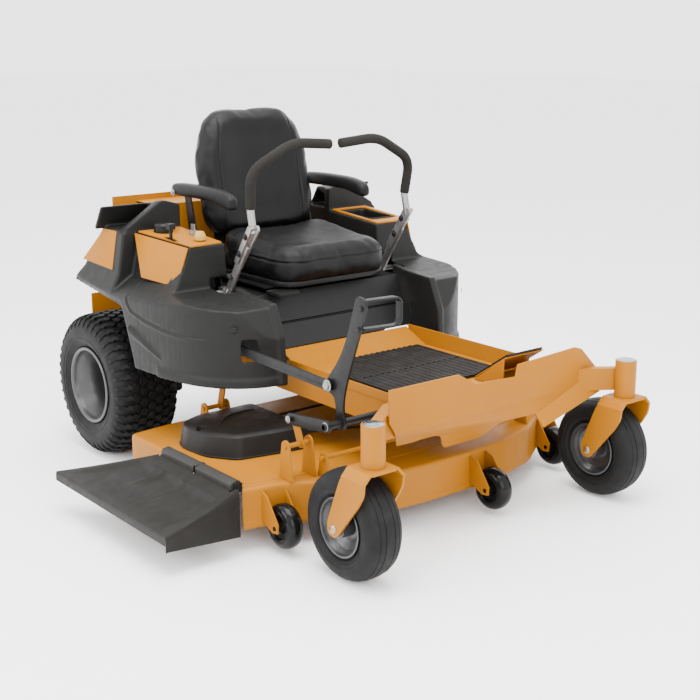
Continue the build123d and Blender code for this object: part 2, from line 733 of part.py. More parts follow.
def belt_covers():
    plan = [(-634, 60), (-610, 126), (-540, 164), (-284, 164), (-284, -196), (-400, -184),
            (-560, -150), (-620, -60)]
    wall = 3
    cover = prism_z(plan, DECK_TOP_Z + 1, 286)
    inner = offset(make_face(Polyline(*[(x, y, DECK_TOP_Z) for x, y in plan], close=True)),
                   amount=-wall)
    cover -= extrude(inner, amount=286 - wall - DECK_TOP_Z, dir=(0, 0, 1))
    cover -= block(-290, -280, -190, 160, DECK_TOP_Z, 286 - wall)
    return pair(cover)


def spindle_housings():
    housings = []
    for x, y in SPINDLES.values():
        body = turned_z([(14 + RUN, 140), (40, 140), (44.5, 160), (44.5, 201), (75, 201),
                         (75, 209), (40, 215), (40, 226), (14 + RUN, 226)], x, y)
        housings.append(body)
    return group(*housings)


def blade(name):
    """Spindle shaft with its pulley, and the cutting blade bolted under it."""
    x, y = SPINDLES[name]
    shaft = turned_z([(0, 94), (14, 94), (14, 236), (70, 236), (66, 246), (70, 256), (14, 256),
                      (14, 266), (0, 266)], x, y)
    bar = block(x - BLADE_LENGTH / 2, x + BLADE_LENGTH / 2, y - 32, y + 32, 87, 93.5)
    return group(shaft, bar)


def deck_belt():
    """Belt around the three spindle pulleys."""
    loops = []
    for radius in (79, 71):
        circles = [Pos(x, y, 242) * Circle(radius) for x, y in SPINDLES.values()]
        loops.append(make_hull([edge for circle in circles for edge in circle.edges()]))
    belt = extrude(loops[0], amount=8, dir=(0, 0, 1))
    return belt - extrude(loops[1], amount=8, dir=(0, 0, 1))


def chute_hinge():
    """Hinge bar on the deck edge that the chute turns on."""
    bar = rod((HINGE_BAR_X, -372, HINGE_BAR_Z), (HINGE_BAR_X, 44, HINGE_BAR_Z), 6)
    ears = [block(HINGE_BAR_X - 8, -690, y, y + HINGE_EAR_THICK, DECK_TOP_Z - DECK_SHEET, 224)
            for y in HINGE_EAR_Y]
    piece = bar
    for ear in ears:
        piece += ear
    return piece


def chute():
    """Flared discharge deflector with a folded front wall."""
    plan = [(-716, 36), (-716, 300), (-958, 318), (-962, -383), (-716, -398), (-716, -172)]
    top = prism_z(plan, 60, 230)
    slab = prism_y([(-716, 206), (-716, 211), (-962, 125), (-962, 120)], -398, 330)
    top &= slab
    wall = prism_y([(-716, 206), (-716, 60), (-760, 52), (-958, 78), (-962, 120)], -398, -393)
    rim = prism_y([(-962, 125), (-962, 88), (-958, 88), (-958, 125)], -383, 316)
    knuckles = []
    for y0, y1 in ((-366, -174), (-154, 34)):
        sleeve = rod((HINGE_BAR_X, y0, HINGE_BAR_Z), (HINGE_BAR_X, y1, HINGE_BAR_Z), 12)
        sleeve += prism_y([(-708, 214), (-718, 206), (-724, 204), (-724, 212), (-708, 226)],
                          y0, y1)
        sleeve -= rod((HINGE_BAR_X, y0 - 1, HINGE_BAR_Z), (HINGE_BAR_X, y1 + 1, HINGE_BAR_Z),
                      6 + RUN)
        knuckles.append(sleeve)
    body = top + wall + rim
    for sleeve in knuckles:
        body += sleeve
    for y in HINGE_EAR_Y:
        body -= block(HINGE_BAR_X - 20, HINGE_BAR_X + 12, y - 1.5, y + HINGE_EAR_THICK + 1.5,
                      190, 240)
    return body


# ---- all nodes ------------------------------------------------------------------
def nodes():
    made = {
        "frame": frame(),
        "front_plate": front_plate(),
        "foot_pan": foot_pan(),
        "floor_mat": floor_mat(),
        "seat_base_panel": seat_base_panel(),
        "pod_left": pod("left"),
        "pod_right": pod("right"),
        "pod_panels": panels(),
        "rear_cover": rear_cover(),
        "rear_guard": rear_guard(),
        "engine_block": engine_block(),
        "engine_shroud": engine_shroud(),
        "muffler": muffler(),
        "transaxles": transaxles(),
        "battery": battery(),
        "fuel_tank": fuel_tank(),
        "seat_plate": seat_plate(),
        "seat_pan": seat_pan(),
        "seat_cushion": seat_cushion(),
        "seat_back": seat_back(),
        "seat_slide_lever": seat_slide_lever(),
        "fuel_cap": fuel_cap(),
        "blade_switch": blade_switch(),
        "throttle_lever": throttle_lever(),
        "ignition_key": ignition_key(),
        "lift_lever": lift_lever(),
        "lift_link": lift_link(),
        "lift_crank": lift_crank(),
        "deck_top": deck_top(),
        "deck_skirts": deck_skirts(),
        "deck_brackets": deck_brackets(),
        "belt_covers": belt_covers(),
        "spindle_housings": spindle_housings(),
        "deck_belt": deck_belt(),
        "chute_hinge": chute_hinge(),
        "chute": chute(),
    }
    for name in SPINDLES:
        made[f"blade_{name}"] = blade(name)
    for name in ROLLERS:
        made[f"roller_{name}"] = roller(name)
    for name, sign in (("left", 1), ("right", -1)):
        made[f"rear_tyre_{name}"] = rear_tyre(sign)
        made[f"rear_rim_{name}"] = rear_rim(sign)
        made[f"caster_fork_{name}"] = caster_fork(sign)
        made[f"caster_tyre_{name}"] = caster_tyre(sign)
        made[f"caster_rim_{name}"] = caster_rim(sign)
        made[f"lever_foot_{name}"] = lever_foot(sign)
        made[f"lever_arm_{name}"] = lever_arm(sign)
        made[f"lever_grip_{name}"] = lever_grip(sign)
        made[f"armrest_{name}"] = armrest(sign)
    return made


os.makedirs("parts", exist_ok=True)
for node, shape in nodes().items():
    moved = [Pos(*SHIFT) * solid for solid in shape.solids()]
    export_step(moved[0] if len(moved) == 1 else Compound(moved), f"parts/{node}.step")
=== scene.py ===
import math
import bmesh
import bpy
from mathutils import Matrix, Vector, noise


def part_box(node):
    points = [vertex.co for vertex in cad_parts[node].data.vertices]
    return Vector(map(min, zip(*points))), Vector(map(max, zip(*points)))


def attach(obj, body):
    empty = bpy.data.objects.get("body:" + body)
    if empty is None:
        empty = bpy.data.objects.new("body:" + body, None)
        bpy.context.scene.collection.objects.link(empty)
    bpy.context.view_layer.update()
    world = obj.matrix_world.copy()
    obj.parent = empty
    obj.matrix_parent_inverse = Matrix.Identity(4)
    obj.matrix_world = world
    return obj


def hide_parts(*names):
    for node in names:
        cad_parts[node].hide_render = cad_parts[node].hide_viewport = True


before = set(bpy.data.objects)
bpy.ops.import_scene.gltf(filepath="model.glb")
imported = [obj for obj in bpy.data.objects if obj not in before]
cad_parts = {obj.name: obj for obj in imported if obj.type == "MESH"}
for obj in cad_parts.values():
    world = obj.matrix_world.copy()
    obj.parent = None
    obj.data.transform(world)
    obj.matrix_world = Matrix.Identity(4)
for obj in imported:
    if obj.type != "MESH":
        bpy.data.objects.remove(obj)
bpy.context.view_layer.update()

# ---- the machine's own axes --------------------------------------------------------
# Shapes below are drawn in millimetres about the machine's mid-plane, front towards -Y
# and the operator's right towards -X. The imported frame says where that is.
MM = 0.001
AXLE_Y = 739
tyre_left, tyre_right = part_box("rear_tyre_left"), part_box("rear_tyre_right")
MID_X = (tyre_left[1][0] + tyre_right[0][0]) / 2
BACK_Y = (tyre_left[0][1] + tyre_left[1][1]) / 2
TO_ROW = (Matrix.Translation((MID_X, BACK_Y - AXLE_Y * MM, 0))
          @ Matrix.Diagonal((MM, MM, MM, 1)))
SIDES = (("left", 1), ("right", -1))
TURN_ORDER = {"x": (2, 0, 1), "y": (0, 2, 1), "z": (0, 1, 2)}


# ---- mesh helpers ------------------------------------------------------------------
def linked(mesh):
    obj = bpy.data.objects.new("work", mesh)
    bpy.context.scene.collection.objects.link(obj)
    return obj


def made(bm):
    """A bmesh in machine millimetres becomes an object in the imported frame."""
    bmesh.ops.remove_doubles(bm, verts=bm.verts, dist=0.01)
    bmesh.ops.recalc_face_normals(bm, faces=bm.faces)
    mesh = bpy.data.meshes.new("work")
    bm.to_mesh(mesh)
    bm.free()
    mesh.transform(TO_ROW)
    return linked(mesh)


def skin(bm, a, b, closed=True):
    """Faces between two rings that have as many points as each other."""
    count = len(a)
    for i in range(count if closed else count - 1):
        j = (i + 1) % count
        bm.faces.new((a[i], a[j], b[j], b[i]))


def circle(centre, side, up, radius, count):
    """Points of a circle in the plane of two directions."""
    return [centre + (side * math.cos(a) + up * math.sin(a)) * radius
            for a in (2 * math.pi * k / count for k in range(count))]


def rounded(points, radius, steps=5):
    """Closed outline with its corners turned into short curves."""
    out = []
    for i, corner in enumerate(points):
        corner = Vector(corner)
        before = Vector(points[i - 1]) - corner
        after = Vector(points[(i + 1) % len(points)]) - corner
        cut = min(radius, before.length * 0.45, after.length * 0.45)
        start, end = corner + before.normalized() * cut, corner + after.normalized() * cut
        for k in range(steps + 1):
            t = k / steps
            q = start * (1 - t) ** 2 + corner * (2 * t * (1 - t)) + end * t * t
            out.append((q.x, q.y))
    return out


def smooth_line(points, per=8, closed=False):
    """Catmull-Rom line through the points, of any dimension."""
    pts = [Vector(p) for p in points]
    n = len(pts)
    out = []
    for i in range(n if closed else n - 1):
        if closed:
            p0, p1, p2, p3 = (pts[(i + k) % n] for k in (-1, 0, 1, 2))
        else:
            p0, p1, p2, p3 = (pts[max(0, min(n - 1, i + k))] for k in (-1, 0, 1, 2))
        for k in range(per):
            t = k / per
            out.append(0.5 * ((2 * p1) + (p2 - p0) * t + (2 * p0 - 5 * p1 + 4 * p2 - p3) * t * t
                              + (3 * p1 - p0 - 3 * p2 + p3) * t ** 3))
    if not closed:
        out.append(pts[-1])
    return out


def prism(axis, outline, low, high, top=None):
    """Outline pushed along an axis; top is an outline for the far end, for tapers."""
    bm = bmesh.new()
    order = TURN_ORDER[axis]
    ends = [[bm.verts.new([(a, b, level)[k] for k in order]) for a, b in points]
            for level, points in ((low, outline), (high, top or outline))]
    bm.faces.new(ends[0])
    bm.faces.new(ends[1])
    skin(bm, *ends)
    return made(bm)


def box(x0, x1, y0, y1, z0, z1):
    return prism("z", [(x0, y0), (x1, y0), (x1, y1), (x0, y1)], z0, z1)


def loft(rings, closed=True):
    """Skin over rings of points; the ends are capped where the rings are closed."""
    bm = bmesh.new()
    made_rings = [[bm.verts.new(p) for p in ring] for ring in rings]
    for a, b in zip(made_rings, made_rings[1:]):
        skin(bm, a, b, closed)
    if closed:
        bm.faces.new(made_rings[0])
        bm.faces.new(made_rings[-1])
    return made(bm)


def lathe(centre, profile, axis="x", segments=96):
    """Closed (along, radius) profile turned about an axis through centre."""
    bm = bmesh.new()
    rings = []
    for s in range(segments):
        angle = 2 * math.pi * s / segments
        c, d = math.cos(angle), math.sin(angle)
        ring = []
        for along, radius in profile:
            local = {"x": (along, radius * c, radius * d), "y": (radius * c, along, radius * d),
                     "z": (radius * c, radius * d, along)}[axis]
            ring.append(bm.verts.new(Vector(centre) + Vector(local)))
        rings.append(ring)
    for a, b in zip(rings, rings[1:] + rings[:1]):
        skin(bm, a, b)
    return made(bm)


def pipe(points, radius, per=8, sides=16, smooth=True):
    """Round bar or tube that follows a line, with closed ends."""
    line = smooth_line(points, per) if smooth else [Vector(p) for p in points]
    radii = radius if callable(radius) else (lambda t: radius)
    rings = []
    side = None
    for i, p in enumerate(line):
        ahead = line[min(i + 1, len(line) - 1)] - line[max(i - 1, 0)]
        ahead.normalize()
        if side is None:
            side = ahead.orthogonal().normalized()
        side = (side - ahead * side.dot(ahead)).normalized()
        up = ahead.cross(side)
        rings.append(circle(p, side, up, radii(i / (len(line) - 1)), sides))
    return loft(rings)


def strip(points_yz, thick, x0, x1):
    """Bent sheet seen from the side, pushed from x0 to x1."""
    upper = []
    for i, (y, z) in enumerate(points_yz):
        normals = []
        for j in (i - 1, i):
            if 0 <= j < len(points_yz) - 1:
                run = Vector(points_yz[j + 1]) - Vector(points_yz[j])
                normals.append(Vector((-run.y, run.x)).normalized())
        normal = sum(normals, Vector((0, 0))) / len(normals)
        upper.append((y + normal.x * thick / normal.length_squared,
                      z + normal.y * thick / normal.length_squared))
    return prism("x", list(points_yz) + upper[::-1], x0, x1)


def applied(obj):
    """Bakes an object's modifiers into its own mesh."""
    graph = bpy.context.evaluated_depsgraph_get()
    mesh = bpy.data.meshes.new_from_object(obj.evaluated_get(graph))
    obj.modifiers.clear()
    obj.data = mesh
    return obj


def joined(*objs):
    """Several meshes as one object, left as they lie."""
    bm = bmesh.new()
    for obj in objs:
        bm.from_mesh(obj.data)
        bpy.data.objects.remove(obj)
    mesh = bpy.data.meshes.new("work")
    bm.to_mesh(mesh)
    bm.free()
    return linked(mesh)


def carve(target, operation, *others):
    for other in others:
        mod = target.modifiers.new("carve", "BOOLEAN")
        mod.operation = operation
        mod.solver = "EXACT"
        mod.object = other
        applied(target)
        bpy.data.objects.remove(other)
    return target


def fused(first, *others):
    return carve(first, "UNION", *others)


def cut(target, *others):
    return carve(target, "DIFFERENCE", *others)


def mirrored(obj):
    """A copy of the object on the other side of the machine's mid-plane."""
    mesh = obj.data.copy()
    mesh.transform(Matrix.Translation((2 * MID_X, 0, 0)) @ Matrix.Diagonal((-1, 1, 1, 1)))
    mesh.flip_normals()
    return linked(mesh)


def removed(*objs):
    for obj in objs:
        bpy.data.objects.remove(obj)


def flipped(obj):
    """The object moved to the other side of the mid-plane."""
    copy = mirrored(obj)
    removed(obj)
    return copy


def sided(obj, side, drawn="left"):
    """A copy for one side of the machine, of a shape that was drawn for one side."""
    return linked(obj.data.copy()) if side == drawn else mirrored(obj)


def reshaped(obj, move):
    """Moves every vertex by a rule given in machine millimetres."""
    back = TO_ROW.inverted()
    for vertex in obj.data.vertices:
        vertex.co = TO_ROW @ move(back @ vertex.co)
    obj.data.update()
    return obj


def voxelled(obj, size):
    """Remeshed evenly, at a size in millimetres."""
    mod = obj.modifiers.new("voxels", "REMESH")
    mod.mode = "VOXEL"
    mod.voxel_size = size * MM
    return applied(obj)


def relax(obj, rounds):
    """Smoothing modifier, left for the caller to apply."""
    mod = obj.modifiers.new("relax", "SMOOTH")
    mod.factor = 0.5
    mod.iterations = rounds


def soften(obj, width, angle, segments=3):
    """Bevel modifier on edges sharper than an angle, left for the caller to apply."""
    mod = obj.modifiers.new("edges", "BEVEL")
    mod.width = width * MM
    mod.segments = segments
    mod.limit_method = "ANGLE"
    mod.angle_limit = math.radians(angle)


def finer(obj, levels):
    """Subdivision modifier, left for the caller to apply."""
    mod = obj.modifiers.new("finer", "SUBSURF")
    mod.levels = levels


def moulded(obj, voxel, rounds):
    """Remeshed and relaxed, so that every edge gets a moulding's radius."""
    voxelled(obj, voxel)
    relax(obj, rounds)
    return applied(obj)


def step(a, b, x):
    """Smooth 0 to 1 as x goes from a to b."""
    t = max(0.0, min(1.0, (x - a) / (b - a)))
    return t * t * (3 - 2 * t)


def piece(obj, name, body, finish, bevel=0.0, angle=30, replaces=()):
    """Names a finished shape and gives it its body, material and soft edges."""
    obj.name = name
    obj.data.name = name
    obj.data.materials.clear()
    obj.data.materials.append(finish)
    for polygon in obj.data.polygons:
        polygon.material_index = 0
    if bevel:
        soften(obj, bevel, angle)
        applied(obj)
    shade(obj, angle + 10)
    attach(obj, body)
    if replaces:
        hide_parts(*replaces)
    return obj


def shade(obj, angle):
    """Smooth shading, broken at edges sharper than an angle."""
    for polygon in obj.data.polygons:
        polygon.use_smooth = True
    obj.data.set_sharp_from_angle(angle=math.radians(angle))


# ---- materials ---------------------------------------------------------------------
STUDIO = 0.45  # the studio is lit bright enough for a white floor, so finishes are darker


def surface(name, color, rough, metal=0.0, vary=0.06, rough_vary=0.06, bump=0.1, scale=500.0,
            pattern="noise", coat=0.0, coat_rough=0.1, broad=5.0, depth=0.0006, dust=0.0,
            spec=0.5):
    """Procedural finish: broad colour drift, fine mottle, uneven gloss and a fine bump."""
    color = [c * STUDIO for c in color]
    mat = bpy.data.materials.new(name)
    mat.use_nodes = True
    tree = mat.node_tree
    shader = tree.nodes["Principled BSDF"]
    shader.inputs["Metallic"].default_value = metal
    shader.inputs["Specular IOR Level"].default_value = 0.14 if max(color) < 0.03 else spec
    shader.inputs["Coat Weight"].default_value = coat
    shader.inputs["Coat Roughness"].default_value = coat_rough
    coords = tree.nodes.new("ShaderNodeTexCoord").outputs["Object"]

    def noise_at(size, detail):
        node = tree.nodes.new("ShaderNodeTexNoise")
        node.inputs["Scale"].default_value = size
        node.inputs["Detail"].default_value = detail
        tree.links.new(coords, node.inputs["Vector"])
        return node.outputs["Fac"]

    def ramp(source, low, high, start=0.35, end=0.65):
        node = tree.nodes.new("ShaderNodeValToRGB")
        node.color_ramp.elements[0].position = start
        node.color_ramp.elements[1].position = end
        node.color_ramp.elements[0].color = low
        node.color_ramp.elements[1].color = high
        tree.links.new(source, node.inputs["Fac"])
        return node.outputs["Color"]

    dark = [c * (1 - vary) for c in color] + [1]
    light = [min(1, c * (1 + vary)) for c in color] + [1]
    tint = ramp(noise_at(broad, 3), dark, light)
    if dust:
        mix = tree.nodes.new("ShaderNodeMix")
        mix.data_type = "RGBA"
        tree.links.new(tint, mix.inputs["A"])
        mix.inputs["B"].default_value = [c * 0.6 + 0.10 for c in color] + [1]
        amount = ramp(noise_at(broad * 4, 6), (0, 0, 0, 1), (dust, dust, dust, 1), 0.45, 0.8)
        tree.links.new(amount, mix.inputs["Factor"])
        tint = mix.outputs["Result"]
    tree.links.new(tint, shader.inputs["Base Color"])
    low, high = max(0.02, rough - rough_vary), min(1.0, rough + rough_vary)
    gloss = ramp(noise_at(broad * 7, 5), (low,) * 3 + (1,), (high,) * 3 + (1,), 0.3, 0.7)
    tree.links.new(gloss, shader.inputs["Roughness"])
    if pattern == "noise":
        height = noise_at(scale, 2)
    else:
        node = tree.nodes.new("ShaderNodeTexVoronoi")
        node.feature = "DISTANCE_TO_EDGE"
        node.inputs["Scale"].default_value = scale
        wobble = tree.nodes.new("ShaderNodeTexNoise")
        wobble.inputs["Scale"].default_value = scale * 0.5
        tree.links.new(coords, wobble.inputs["Vector"])
        blend = tree.nodes.new("ShaderNodeVectorMath")
        blend.operation = "MULTIPLY_ADD"
        blend.inputs[1].default_value = (1.0 / scale,) * 3
        tree.links.new(wobble.outputs["Color"], blend.inputs[0])
        tree.links.new(coords, blend.inputs[2])
        tree.links.new(blend.outputs[0], node.inputs["Vector"])
        height = ramp(node.outputs["Distance"], (0, 0, 0, 1), (1, 1, 1, 1), 0.0, 0.25)
    node = tree.nodes.new("ShaderNodeBump")
    node.inputs["Strength"].default_value = bump
    node.inputs["Distance"].default_value = depth
    tree.links.new(height, node.inputs["Height"])
    tree.links.new(node.outputs["Normal"], shader.inputs["Normal"])
    return mat


GRAIN = {"pattern": "voronoi", "depth": 0.0003}

PAINT = surface("powder_coat", (0.62, 0.222, 0.002), 0.46, vary=0.03, bump=0.12, scale=700,
                spec=0.15)
PLASTIC = surface("moulded_plastic", (0.016, 0.016, 0.0152), 0.45, vary=0.08, bump=0.25,
                  scale=1400, **GRAIN)
CHUTE = surface("chute_plastic", (0.015, 0.013, 0.0105), 0.5, vary=0.10, bump=0.3,
                scale=1100, **GRAIN, dust=0.03)
COVER = surface("cover_plastic", (0.014, 0.012, 0.010), 0.42, vary=0.10, bump=0.2,
                scale=1200, **GRAIN)
VINYL = surface("seat_vinyl", (0.007, 0.007, 0.0075), 0.36, vary=0.10, rough_vary=0.07, bump=0.35,
                scale=420, pattern="voronoi", depth=0.0005)
SOFT_BLACK = surface("armrest_skin", (0.008, 0.008, 0.0085), 0.42, bump=0.3, scale=900,
                     **GRAIN)
RUBBER = surface("tyre_rubber", (0.010, 0.010, 0.010), 0.62, vary=0.15, bump=0.3, scale=600,
                 dust=0.05)
RIM = surface("rim_paint", (0.11, 0.11, 0.113), 0.34, metal=0.55, vary=0.06, bump=0.08,
              scale=900)
FOAM = surface("grip_foam", (0.026, 0.0235, 0.0205), 0.85, vary=0.10, bump=0.6, scale=1500,
               pattern="voronoi", depth=0.0004)
STEEL = surface("zinc_steel", (0.55, 0.54, 0.53), 0.36, metal=0.85, vary=0.08, rough_vary=0.1,
                bump=0.15, scale=900)
ZINC = surface("yellow_zinc", (0.62, 0.50, 0.30), 0.34, metal=0.9, vary=0.12, bump=0.1)
BRIGHT = surface("bright_cap", (0.72, 0.73, 0.75), 0.22, metal=0.95, vary=0.04, bump=0.05)
DARK_STEEL = surface("dark_powder_coat", (0.010, 0.0103, 0.0107), 0.42, vary=0.08, bump=0.2,
                     scale=800, coat=0.1, coat_rough=0.3)
MAT = surface("floor_rubber", (0.014, 0.012, 0.010), 0.66, vary=0.12, bump=0.3, scale=500,
              dust=0.06)
GLOSS = surface("roller_plastic", (0.008, 0.008, 0.008), 0.14, vary=0.2, rough_vary=0.04,
                bump=0.03)
BLACK = surface("black_plastic", (0.014, 0.014, 0.014), 0.34, bump=0.1, scale=900)
YELLOW = surface("knob_plastic", (0.80, 0.46, 0.05), 0.3, bump=0.05)
ENGINE = surface("cast_aluminium", (0.32, 0.32, 0.32), 0.5, metal=0.7, bump=0.4, scale=300)
CAST = surface("black_casting", (0.025, 0.025, 0.026), 0.55, bump=0.4, scale=350)
BLADE = surface("blade_steel", (0.16, 0.155, 0.15), 0.45, metal=0.8, vary=0.15, bump=0.2)
BELT = surface("belt_rubber", (0.02, 0.02, 0.02), 0.7, bump=0.3)
HINGE_GREY = surface("hinge_cap_plastic", (0.045, 0.043, 0.039), 0.5, vary=0.08, bump=0.2,
                     scale=1200, **GRAIN)
# The floor comes out near white, because STUDIO darkens it like everything else.
FLOOR = surface("studio_floor", (2.1, 2.1, 2.1), 0.6, vary=0.005, rough_vary=0.02, bump=0.0)


# ---- wheels ------------------------------------------------------------------------
REAR = Vector((502, 739, 262))
REAR_RADIUS = 262
TREAD_ROWS = 42


def tread_radius(x, profile):
    """Radius of the tyre's outer line at a distance x from its middle."""
    for (xa, ra), (xb, rb) in zip(profile, profile[1:]):
        if xa <= x <= xb:
            return ra + (rb - ra) * (x - xa) / (xb - xa)
    return profile[-1][1]


def tread_block(bm, centre, outline, angle, profile, root, lift):
    """One raised rubber block; outline is (across, along the tread) from its own middle."""
    rings = []
    for height, shrink in ((root, 1.0), (lift - 1.2, 0.97), (lift, 0.86)):
        ring = []
        for u, v in outline:
            x = centre + u * shrink
            r = tread_radius(abs(x), profile) + height
            turn = angle + v * shrink / REAR_RADIUS
            ring.append(bm.verts.new((REAR.x + x, REAR.y + r * math.cos(turn),
                                      REAR.z + r * math.sin(turn))))
        rings.append(ring)
    for a, b in zip(rings, rings[1:]):
        skin(bm, a, b)
    bm.faces.new(rings[-1])


def rear_tyre():
    """Turf tyre: carcass with rings on its wall, hexagon blocks and shoulder lugs."""
    profile = [(0, 262), (70, 261), (95, 256), (111, 247), (121, 232), (126, 214), (127, 196)]
    drop = 9
    wall = [(x, r - (drop if r > 225 else 2)) for x, r in profile]
    side = wall + [(126.5, 190), (127, 187), (125, 184), (124.5, 176), (126, 173), (124, 170),
                   (118, 158), (113, 150), (112, 146), (108, 143), (105, 138), (98, 130)]
    outline = side + [(-x, r) for x, r in reversed(side)]
    carcass = lathe(REAR, outline, segments=112)
    bm = bmesh.new()
    pitch = 2 * math.pi / TREAD_ROWS
    hexagon = [(13.5, 8), (13.5, -8), (0, -16), (-13.5, -8), (-13.5, 8), (0, 16)]
    for row in range(-2, 3):
        for k in range(TREAD_ROWS):
            angle = (k + (0.5 if row % 2 else 0)) * pitch
            tread_block(bm, row * 31, hexagon, angle, profile, -11, 0)
    lug = [(-17, 10), (-17, -10), (-8, -14), (4, -7), (16, -12), (34, -9), (34, 6), (16, 3),
           (4, 9), (-8, 4)]
    for side_sign in (-1, 1):
        for k in range(TREAD_ROWS):
            angle = (k + (0.0 if side_sign > 0 else 0.5)) * pitch
            shape = [(u * side_sign, v) for u, v in lug]
            tread_block(bm, side_sign * 92, shape, angle, profile, -11, 0)
        for k in range(TREAD_ROWS):
            rib = [(side_sign * u, v) for u, v in ((-1, 5), (-1, -5), (1.4, -4), (1.4, 4))]
            tread_block(bm, side_sign * 125.2, rib, k * pitch, profile, -6, -1)
    return joined(carcass, made(bm))


def rear_rim():
    """Deep steel rim with rolled flanges, a stepped well and a drive hub."""
    line = [(116, 141), (119, 138), (119, 133), (115, 129), (109, 127), (92, 124), (88, 118),
            (66, 115), (60, 108), (20, 105), (-20, 103), (-52, 101), (-62, 94), (-66, 84),
            (-66, 30), (-72, 30), (-73, 92), (-80, 100), (-100, 118), (-108, 127), (-115, 131),
            (-115, 140), (-104, 139), (-98, 129), (60, 128.5), (98, 129), (104, 139)]
    rim = lathe(REAR, line, segments=128)
    nose = lathe((REAR.x - 66, REAR.y, REAR.z),
                 [(-50, 19), (-50, 33), (-10, 33), (-6, 62), (-0.5, 62), (-0.5, 29), (20, 28),
                  (25, 24), (26, 0), (-6, 0), (-6, 19)], segments=64)
    nuts = []
    for k in range(4):
        angle = math.radians(45 + 90 * k)
        y = REAR.y + 50 * math.cos(angle)
        z = REAR.z + 50 * math.sin(angle)
        nuts.append(hex_head((REAR.x - 66, y, z), (1, 0, 0), 11, 12))
    return rim, joined(nose, *nuts)


def axes(toward):
    """A unit direction and two more that are square to it."""
    toward = Vector(toward).normalized()
    side = toward.orthogonal().normalized()
    return toward, side, toward.cross(side)


def hex_head(place, toward, radius, height, washer=1.45):
    """Bolt head on a round washer, standing along a direction."""
    toward, side, up = axes(toward)

    def ring(count, r, lift):
        return circle(Vector(place) + toward * lift, side, up, r, count)

    plate = loft([ring(24, radius * washer, 0), ring(24, radius * washer, height * 0.18),
                  ring(24, radius * washer * 0.93, height * 0.26)])
    head = loft([ring(6, radius, height * 0.25), ring(6, radius, height * 0.85),
                 ring(6, radius * 0.86, height)])
    return joined(plate, head)


def round_head(place, toward, radius, height):
    """Carriage-bolt dome."""
    toward, side, up = axes(toward)
    rings = []
    for k in range(6):
        angle = math.pi / 2 * k / 5.5
        centre = Vector(place) + toward * (height * math.sin(angle))
        rings.append(circle(centre, side, up, radius * math.cos(angle), 24))
    return loft(rings)


def build_rear_wheels():
    """Tyre, rim and hub, drawn for the left and copied to the right."""
    tyre = rear_tyre()
    rim, hub = rear_rim()
    for side, body in (("right", "rear_wheel_right"), ("left", "rear_wheel_left")):
        for shape, name, finish, slot, gone, angle in (
                (tyre, "turf_tyre", RUBBER, "tyre_rubber", ("rear_tyre_" + side,), 28),
                (rim, "wheel_rim", RIM, "rim_paint", ("rear_rim_" + side,), 40),
                (hub, "wheel_hub", DARK_STEEL, "rim_paint", ("rear_rim_" + side,), 30)):
            copy = sided(shape, side)
            piece(copy, f"{name}_{side}", body, finish, angle=angle, replaces=gone)
    removed(tyre, rim, hub)


CASTER = Vector((539, -715, 165))
CASTER_PIN_Y = -800


def build_casters():
    """Smooth tyre, rim, yoke and axle bolt, drawn for the left and copied to the right."""
    tread = [(0, 165), (14, 164.5), (15, 162.5), (17, 162.5), (18, 164), (32, 161.5),
             (33, 159.5), (35, 159.2), (36, 160), (46, 155.5), (54, 148), (60, 137), (63, 124),
             (63.2, 118), (61.5, 116), (62.2, 113), (59, 106), (55, 101), (55.5, 98), (51, 96),
             (49, 92), (46, 84)]
    tyre = lathe(CASTER, tread + [(-x, r) for x, r in reversed(tread)], segments=112)
    well = [(55.5, 89), (57, 86.5), (56, 83), (51, 81), (44, 79), (40, 74), (34, 72), (28, 66),
            (26, 56), (20, 50), (16, 40), (18, 31), (60, 30), (61, 27), (61, 9)]
    rim = lathe(CASTER, well + [(-x, r) for x, r in reversed(well)]
                + [(-47, 84), (-20, 80), (20, 80), (47, 84)], segments=112)
    fork = caster_fork()
    bolts = joined(round_head(CASTER + Vector((76, 0, 0)), (1, 0, 0), 14, 8),
                   round_head(CASTER - Vector((76, 0, 0)), (-1, 0, 0), 14, 8),
                   pipe([CASTER - Vector((74, 0, 0)), CASTER + Vector((74, 0, 0))], 7.5,
                        smooth=False))
    for side in ("right", "left"):
        gone = ("caster_fork_" + side,)
        for shape, name, body, finish, slot, replaced, angle in (
                (tyre, "caster_tyre_smooth", "caster_wheel_", RUBBER, "tyre_rubber",
                 ("caster_tyre_" + side,), 35),
                (rim, "caster_wheel_rim", "caster_wheel_", RIM, "rim_paint",
                 ("caster_rim_" + side,), 40),
                (fork, "caster_yoke", "caster_", PAINT, "body_paint", gone, 30),
                (bolts, "caster_axle_bolt", "caster_", ZINC, "bright_steel", gone, 30)):
            copy = sided(shape, side)
            piece(copy, f"{name}_{side}", body + side, finish, angle=angle,
                  replaces=replaced)
    removed(tyre, rim, fork, bolts)


